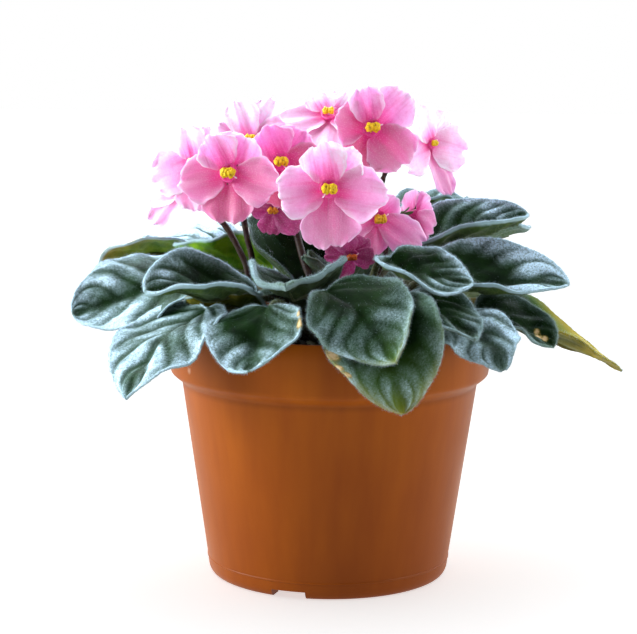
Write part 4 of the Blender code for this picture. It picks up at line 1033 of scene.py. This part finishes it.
def stalkParts(name, seed):
    look = stalkLook
    radius, bearing, places = stalkRoutes[name]
    draw = np.random.default_rng(seed)
    seat = crownLook["radius"] + 0.1 * mm
    start = heading(bearing) * seat + skyward * crownLook["stalkFoot"]
    leave = start + heading(bearing, crownLook["stalkRise"]) * 5 * mm
    main = np.concatenate([[start], smoothThrough([leave] + [np.array(p) * mm for p in places], 8)])
    radii = np.full(len(main), radius * mm) * (1 + 0.04 * np.sin(np.arange(len(main)) * 1.7))
    radii[-2:] *= (0.95, 0.6)
    parts = [tubePart(main, radii, 12, 0)]
    skins = [parts[0]["skin"]]
    fork = main[-1]
    growth = unit(main[-1] - main[-2])
    for number, other in enumerate(bloomShapes):
        bloom = readBloom(other)
        if bloom["stalk"] != name:
            continue
        end = bloom["centre"] - bloom["forward"] * (bloomLook["tubeLength"] + 0.3) * mm
        foot = end - bloom["forward"] * look["calyxLength"] * mm
        reach = np.linalg.norm(foot - fork) * 0.45
        path = bezier(fork - growth * radius * mm, fork + growth * reach,
                      foot - bloom["forward"] * reach, foot, 18)
        cup = foot + (end - foot) * np.linspace(0.2, 1, 6)[:, None]
        swell = np.array([0.95, 1.15, 1.6, 2.0, 2.15, 1.9]) * bloom["core"] * mm
        thin = look["branchRadius"] * mm * np.linspace(1.1, 0.95, len(path))
        branch = tubePart(np.concatenate([path, cup]), np.concatenate([thin, swell]), 9, 0)
        share = branch["fields"]["along"]
        branch["fields"] = {"along": 0.45 + 0.4 * share, "green": np.clip(share * 3 - 2.1, 0, 1)}
        parts.append(branch)
        skins.append(branch["skin"])
        parts += [sepalPart(bloom, seed + number + tau * i / 5) for i in range(5)]
    parts[0]["fields"]["along"] = parts[0]["fields"]["along"] * 0.45
    skin = np.concatenate([s[0] for s in skins])
    outward = np.concatenate([s[1] for s in skins])
    pick = draw.integers(0, len(skin), look["hairs"])
    ways = outward[pick] + 0.35 * draw.normal(size=(len(pick), 3))
    parts.append(hairPart(skin[pick], ways, 0.7, 0.02, 1, draw))
    return parts


def stalkSkin():
    # flower stalks: dark reddish brown and downy, greener at the calyx
    material, shader, add, along, green = newMaterial("stalkSkin", "along green")
    coords = add("TexCoord").outputs["Object"]
    flecks = add("TexNoise", coords, scale=1 / (1.2 * mm), detail=4.0)
    colour = add("Mix", along, "#1A0F0B", "#391A16")
    colour = add("Mix", add("MapRange", flecks, 0.45, 0.7, 0.0, 0.45), colour, "#3E3D22")
    colour = add("Mix", green, colour, "#4C5A34")
    add(shader, baseColor=colour, roughness=0.5, ior=1.42, specularIorLevel=0.2, sheenWeight=0.04,
        sheenRoughness=0.35, sheenTint="#E3D6D2",
        normal=add("Bump", height=flecks, distance=0.15 * mm))
    return material


stalkMaterials = [stalkSkin(), leafMaterials[2]]
for number, name in enumerate(stalkRoutes):
    parts = stalkParts(name, number + 40)
    makePiece("stalkPiece_" + name, parts, stalkMaterials, "stalk_" + name)
print("flower stalks grown:", len(stalkRoutes))


# Crown, soil and pot are turned about the upright axis

def revolve(profile, steps):
    # profile is (radius, height) in metres, over the top, down the outside and back below
    radius, height = np.array(profile).T[:, :, None]
    turn = np.arange(steps) * tau / steps
    points = np.stack(np.broadcast_arrays(radius * np.cos(turn), radius * np.sin(turn), height), -1)
    return ringPart(points, 0, {}, flipped=True)


def crownParts():
    look = crownLook
    draw = np.random.default_rng(71)
    profile = []
    for share in np.linspace(1, 0, 40):
        narrow = min(1.0, 0.7 + share * 2.4) * min(1.0, ((1 - share) * 5.5 + 0.003) ** 0.5)
        height = look["foot"] + (look["top"] - look["foot"]) * share
        profile.append((look["radius"] * narrow, height))
    part = revolve(profile, look["sides"])
    flat = part["points"]
    axis = flat * [1, 1, 0]
    turn = np.arctan2(flat[:, 1], flat[:, 0])
    # old leaf scars, in a spiral of low pads
    scars = np.sin(turn * 5 + flat[:, 2] / mm * 1.1) * np.sin(turn * 3 - flat[:, 2] / mm * 1.5)
    lift = (0.45 * scars + 0.15 * ripple(flat, 1.5, 5)) * mm - 0.35 * mm
    lift = lift * (np.linalg.norm(axis, axis=1) > 1 * mm)
    part["points"] = flat + unit(axis) * lift[:, None]
    pick = draw.integers(0, look["sides"] * 16, look["hairs"])  # on the upper rings alone
    ways = unit(axis)[pick] + [0, 0, 0.5] + 0.4 * draw.normal(size=(len(pick), 3))
    parts = [part, hairPart(part["points"][pick], ways, 0.8, 0.03, 3, draw)]
    # the newest leaves, still small and folded, that stand around the growing tip
    for number, (bearing, length, rise) in enumerate(look["newLeaves"]):
        base = heading(bearing) * 5 * mm + skyward * (look["top"] - 2.5 * mm)
        tip = base + heading(bearing, rise) * length * mm
        control = (base + tip) / 2 - heading(bearing) * 2.5 * mm
        young = {**plainLeaf, **look["youngLeaf"], "width": length * 0.8 * mm,
                 "length": length * mm, "base": base, "tip": tip, "control": control}
        parts += [shiftMaterials(piece, 1) for piece in
                  bladeParts(young, 80 + number, rows=20, columns=14, hairShare=0.12)]
    return parts


soilLook = {
    "top": 87.0,           # mm
    # radius and height in mm, down its outside and back to the axis
    "outside": ((58.1, 79.3), (53.6, 73), (43, 4.6), (0.2, 4.6)),
    "steps": 180,
    "lump": 0.675,         # mm of unevenness
    "crumbs": 1500,
    "crumbSize": (0.35, 1.5),
    "crumbRings": ((-0.55, 0.7), (0.1, 1.0), (0.6, 0.6)),  # heights and widths, next to its size
    "whiteGrains": 0.035,  # share of the crumbs that are perlite
}


def soilParts():
    draw = np.random.default_rng(72)
    look = soilLook
    outside = [(radius * mm, height * mm) for radius, height in look["outside"]]
    hole, under = crownLook["radius"] + 0.3 * mm, crownLook["foot"] - 0.3 * mm
    profile = [(0.2 * mm, under), (hole, under)]
    profile += [(radius, look["top"] * mm) for radius in np.linspace(hole, outside[0][0], 60)]
    profile += outside
    part = revolve(profile, look["steps"])
    flat = part["points"]
    surface = flat[:, 2] > (look["top"] - 0.1) * mm
    lumps = ripple(flat, 9, 3) * 0.8 + ripple(flat, 3.2, 4, 14) * 0.5
    lumps = lumps + ripple(flat, 1.4, 6, 18) * 0.35
    flat[:, 2] += surface * lumps * look["lump"] * mm
    part["fields"] = {"place": flat / mm, "kind": 0.0}
    parts = [part]
    # crumbs of peat and bark, and a few white grains, lying on the surface
    turn = np.arange(6) * tau / 6
    for _ in range(look["crumbs"]):
        size = draw.uniform(*look["crumbSize"]) ** 1.2 * mm
        away = math.sqrt(draw.uniform((11 / 57) ** 2, 1)) * 56.8 * mm
        bearing = draw.uniform(0, tau)
        height = look["top"] * mm + 0.25 * size
        centre = np.array([away * math.cos(bearing), away * math.sin(bearing), height])
        stretch = draw.uniform(0.6, 1.4, 3) * size
        rough = draw.uniform(0.75, 1.2, (3, 6, 1))
        crumb = np.array([[(w * math.cos(a + 0.3 * h), w * math.sin(a + 0.3 * h), h) for a in turn]
                          for h, w in look["crumbRings"]]) * rough * stretch + centre
        kind = 1.0 if draw.uniform() < look["whiteGrains"] else draw.uniform(0, 0.5)
        parts.append(ringPart(crumb, 0, {"place": crumb.reshape(-1, 3) / mm, "kind": kind}))
    return parts


def peatCrumb():
    # damp peat compost: near black, with browner bark and white perlite grains
    material, shader, add, place, kind = newMaterial("peatCrumb", "place kind")
    fine = add("TexNoise", place, scale=1 / 1.2, detail=5.0, roughness=0.7)
    colour = add("Mix", add("MapRange", fine, 0.3, 0.7), "#0E0A08", "#2A1D15")
    colour = add("Mix", add("MapRange", kind, 0.25, 0.5, 0.0, 0.6), colour, "#4A3122")
    colour = add("Mix", add("MapRange", kind, 0.6, 0.9), colour, "#CFC9BC")
    add(shader, baseColor=colour, roughness=0.92, ior=1.4,
        normal=add("Bump", height=fine, distance=0.5 * mm))
    return material


def crownBark():
    # the short woody crown: dull brown green between old leaf scars
    material, shader, add = newMaterial("crownBark")
    coords = add("TexCoord").outputs["Object"]
    fine = add("TexNoise", coords, scale=1 / (2.0 * mm), detail=4.0)
    colour = add("Mix", add("MapRange", fine, 0.35, 0.65), "#3A2E1B", "#565B34")
    add(shader, baseColor=colour, roughness=0.75, ior=1.45, sheenWeight=0.2,
        normal=add("Bump", height=fine, distance=0.3 * mm))
    return material


makePiece("crownPiece", crownParts(), [crownBark()] + leafMaterials[:3], "crown")
makePiece("compost", soilParts(), [peatCrumb()], "potting_soil")
print("crown and soil set")


potLook = {
    "steps": 240,
    "height": 96.3, "rimRadius": 60.0, "collarFoot": 78.0, "bodyTop": 72.6, "bodyTopRadius": 55.5,
    "bodyFootRadius": 45.6, "footRadius": 42.6, "wall": 1.3,
    "channelHeight": 3.0, "channelInner": 24.0, "channelOuter": 38.0,
    "lineHeight": 6.4,         # mm up to the fine moulding line
    "notchWidth": 13.0, "notchBearing": -109.0, "notches": 3, "notchInner": 35.0, "notchOuter": 60,
    "drainRadius": 3.5, "cutterHeight": 6,
    "nick": (-51.2, -31.3, 81.8),  # a small pale knock on the collar
}


def potProfile():
    look = potLook
    rim, wall, top = look["rimRadius"], look["wall"], look["height"]
    bodyTop, bodyFoot, foot = look["bodyTopRadius"], look["bodyFootRadius"], look["footRadius"]
    inside = look["channelHeight"] + wall
    inner, outer, channel = look["channelInner"], look["channelOuter"], look["channelHeight"]
    collar, line = look["collarFoot"], look["lineHeight"]
    slope = (bodyTop - bodyFoot) / (look["bodyTop"] - 5)
    points = [(0.05, wall), (inner - wall, wall), (inner, inside), (bodyFoot - wall - 1, inside)]
    points += [(bodyTop - wall, look["bodyTop"] + 0.4), (rim - wall, collar + 0.5)]
    points += [(rim - wall, top - 0.45), (rim - wall + 0.18, top - 0.12), (rim - wall + 0.5, top)]
    points += [(rim - 0.5, top), (rim - 0.15, top - 0.14), (rim, top - 0.5)]  # rounded lip
    points += [(rim - 0.05, top - 6), (rim, collar + 1.2), (rim - 0.12, collar + 0.3)]
    for i in range(1, 9):  # the collar rolls in under itself to the body
        turn = i / 9 * math.pi
        roll = (rim - bodyTop) * (1 - math.cos(turn)) / 2 + 0.2 * math.sin(turn)
        points.append((rim - roll, collar - (collar - look["bodyTop"]) * i / 9))
    points += [(bodyTop + 0.02, look["bodyTop"]), (bodyTop - 0.12, look["bodyTop"] - 0.7)]
    for height in (68, 60, 50, 40, 30, 20, 12, line + 1.0):
        points.append((bodyFoot + slope * (height - 5), height))
    ridge = bodyFoot + slope * (line - 5)
    points += [(ridge + slope * 0.4, line + 0.35), (ridge + 0.22, line + 0.1),
               (ridge + 0.2, line - 0.2), (ridge - slope * 0.4, line - 0.45)]
    for i in range(1, 9):  # the rounded corner above the foot
        angle = i / 8 * math.pi / 2
        radius = foot + (bodyFoot - foot) * math.cos(angle) ** 0.9
        points.append((radius, 4.6 * (1 - math.sin(angle))))
    points += [(outer, 0.0), (outer - 0.6, channel), (inner + 0.6, channel), (inner, 0.0)]
    points.append((0.05, 0.0))
    return [(radius * mm, height * mm) for radius, height in points]


def potPiece():
    look = potLook
    part = revolve(potProfile(), look["steps"])
    pot = makePiece("nurseryPot", [part], [mouldedPolypropylene()], "pot")
    cutters, height, drainRadius = [], look["cutterHeight"] * mm, look["drainRadius"] * mm
    for i in range(look["notches"]):
        bearing = math.radians(look["notchBearing"] + i * 360 / look["notches"])
        bpy.ops.mesh.primitive_cube_add(size=1.0)
        notch = bpy.context.active_object
        inner, outer = look["notchInner"], look["notchOuter"]
        notch.scale = ((outer - inner) * mm, look["notchWidth"] * mm, height)
        middle = (inner + outer) / 2 * mm
        notch.location = (middle * math.cos(bearing), middle * math.sin(bearing), -0.1 * mm)
        notch.rotation_euler = (0, 0, bearing)
        between = bearing + math.pi / look["notches"]
        bpy.ops.mesh.primitive_cylinder_add(vertices=32, radius=drainRadius, depth=height)
        drain = bpy.context.active_object
        away = (look["channelInner"] + look["channelOuter"]) / 2 * mm
        drain.location = (away * math.cos(between), away * math.sin(between), 3.6 * mm)
        cutters += [notch, drain]
    bpy.context.view_layer.update()
    for cutter in cutters:
        cut = pot.modifiers.new("cut", "BOOLEAN")
        cut.operation, cut.object, cut.solver = "DIFFERENCE", cutter, "EXACT"
    graph = bpy.context.evaluated_depsgraph_get()
    mesh = bpy.data.meshes.new_from_object(pot.evaluated_get(graph))
    pot.modifiers.clear()
    pot.data = mesh
    for cutter in cutters:
        bpy.data.objects.remove(cutter)
    mesh.shade_smooth()
    mesh.set_sharp_from_angle(angle=math.radians(32))
    return pot


def mouldedPolypropylene():
    # polypropylene pigmented terracotta, injection moulded: a satin skin with a faint
    # orange-peel grain, soft flow streaks down the wall, and a few pale handling scuffs
    material, shader, add = newMaterial("mouldedPolypropylene")
    coords = add("TexCoord").outputs["Object"]
    flow = add("Mapping", coords, scale=(1.0, 1.0, 0.12))
    streak = add("TexNoise", flow.outputs["Vector"], scale=1 / (7 * mm), detail=3.0)
    cloud = add("TexNoise", coords, scale=1 / (30 * mm), detail=3.0)
    peel = add("TexNoise", coords, scale=1 / (0.9 * mm))
    dust = add("TexNoise", coords, scale=1 / (2.5 * mm), detail=6.0, roughness=0.75)
    colour = add("Mix", add("MapRange", streak, 0.3, 0.7), "#8C4405", "#994E06")
    colour = add("Mix", add("MapRange", cloud, 0.35, 0.7, 0.0, 0.4), colour, "#883F06")
    upright = add("SeparateXYZ", coords).outputs["Z"]
    # darker towards the foot: painted shade
    colour = add("Mix", add("MapRange", upright, 75 * mm, 0.0, 0.0, 0.5), colour, "#6A2B02")
    colour = add("Mix", add("MapRange", dust, 0.68, 0.82, 0.0, 0.3), colour, "#C08A60")
    # painted shadow: a dark band in the corner under the collar
    corner = (potLook["bodyTop"] + 0.6) * mm
    fromCorner = add("Math", upright, corner, operation="SUBTRACT")
    fromCorner = add("Math", fromCorner, operation="ABSOLUTE")
    collarShadow = add("MapRange", fromCorner, 2.2 * mm, 0.2 * mm, 0.0, 0.28)
    colour = add("Mix", collarShadow, colour, "#542404")
    nick = tuple(size * mm for size in potLook["nick"])
    ragged = add("MapRange", dust, 0.3, 0.7, 0.0, 0.8 * mm)
    fromNick = add("VectorMath", coords, nick, operation="DISTANCE").outputs["Value"]
    fromNick = add("Math", fromNick, ragged, operation="SUBTRACT")
    colour = add("Mix", add("MapRange", fromNick, 1.1 * mm, 0.0, 0.0, 0.26), colour, "#EBCDB4")
    # its sheen is the finest dust, which shows only where the wall turns away
    add(shader, baseColor=colour, roughness=add("MapRange", cloud, 0.3, 0.7, 0.36, 0.46), ior=1.49,
        specularIorLevel=0.12, sheenWeight=0.10, sheenRoughness=0.35, sheenTint="#F0AC68",
        normal=add("Bump", height=peel, distance=0.02 * mm))
    return material


potPiece()
print("pot moulded")


# Floor, light and camera

stageLook = {
    "floorColour": "#F4F4F2",
    "skyBehind": 0.95,        # brightness of the white surroundings behind the plant
    "skyFront": 0.10,         # and on the camera's side
    "skyLeft": 0.7,           # how much more they count as behind on the left than the right
    "skyUp": 0.25,            # and overhead
    "skyColour": "#F6FAFF",
    "windows": {
        # place in metres, diameter in metres, power in watts, colour
        "leftWindow": ((-1.08, -0.12, 0.46), 0.8, 24.0, "#F2F8FF"),
        "rightWindow": ((1.05, -0.15, 0.50), 0.8, 8.0, "#F6FAFF"),
        "rightBackWindow": ((0.75, 0.80, 0.75), 0.8, 16.0, "#E6F2FF"),
        "backSkylight": ((-0.35, 0.75, 1.00), 0.9, 28.0, "#E2F0FF"),
    },
    "aim": (0, 0, 0.12),      # what the windows face, in metres
    "camera": (-4.4, -783.0, 219.0),  # mm
    "pitch": 8.85,            # degrees down
    "lean": 0.5,              # degrees
    "lens": 119.0,
}


def makeStage():
    look = stageLook
    bpy.ops.mesh.primitive_plane_add(size=6.0, location=(0, 0, 0))
    floor = bpy.context.active_object
    floor.name = "studioFloor"
    material, shader, add = newMaterial("paintedFloor")  # matt paint, one plain light tone
    add(shader, baseColor=look["floorColour"], roughness=0.9, emissionColor=(1, 1, 1, 1),
        emissionStrength=0.62)
    floor.data.materials.append(material)
    return floor


def makeWorld():
    look = stageLook
    world = bpy.data.worlds.new("softStudio")
    world.use_nodes = True
    bpy.context.scene.world = world
    add = partial(addNode, world.node_tree)
    axes = add("SeparateXYZ", add("TexCoord").outputs["Generated"]).outputs
    leftwards = add("Math", axes["X"], look["skyLeft"] / -2, operation="MULTIPLY")
    upwards = add("Math", axes["Z"], look["skyUp"], operation="MULTIPLY")
    depth = add("Math", add("Math", axes["Y"], leftwards), upwards)
    strength = add("MapRange", depth, -0.6, 0.5, look["skyFront"], look["skyBehind"])
    seen = add("LightPath").outputs["Is Camera Ray"]
    shown = add("Mix", seen, strength, 1.0, data_type="FLOAT")
    tint = add("Mix", seen, look["skyColour"], "#FFFFFF")
    add(world.node_tree.nodes["Background"], strength=shown, color=tint)


def makeLights(floor):
    # large soft windows; the floor has its own even light, so it stays one plain tone
    ownLight = bpy.data.collections.new("litByTheSkyAlone")
    ownLight.objects.link(floor)
    ownLight.collection_objects[0].light_linking.link_state = "EXCLUDE"
    look = stageLook
    for name, (place, size, power, colour) in look["windows"].items():
        data = bpy.data.lights.new(name, "AREA")
        data.shape, data.size = "DISK", size
        data.energy = power
        data.color = linearColour(colour)[:3]
        lamp = bpy.data.objects.new(name, data)
        lamp.location = place
        way = Vector(look["aim"]) - Vector(place)
        lamp.rotation_euler = way.to_track_quat("-Z", "Y").to_euler()
        lamp.light_linking.receiver_collection = ownLight
        bpy.context.scene.collection.objects.link(lamp)


def makeCamera():
    look = stageLook
    data = bpy.data.cameras.new("photoView")
    data.lens, data.sensor_width = look["lens"], 36.0
    camera = bpy.data.objects.new("photoView", data)
    camera.location = Vector(look["camera"]) * mm
    pitch = Matrix.Rotation(math.radians(90 - look["pitch"]), 4, "X")
    lean = Matrix.Rotation(math.radians(look["lean"]), 4, "Z")
    camera.rotation_euler = (pitch @ lean).to_euler()
    bpy.context.scene.collection.objects.link(camera)
    bpy.context.scene.camera = camera


makeLights(makeStage())
makeWorld()
makeCamera()
bpy.context.scene.view_settings.view_transform = "Standard"
print("stage lit")
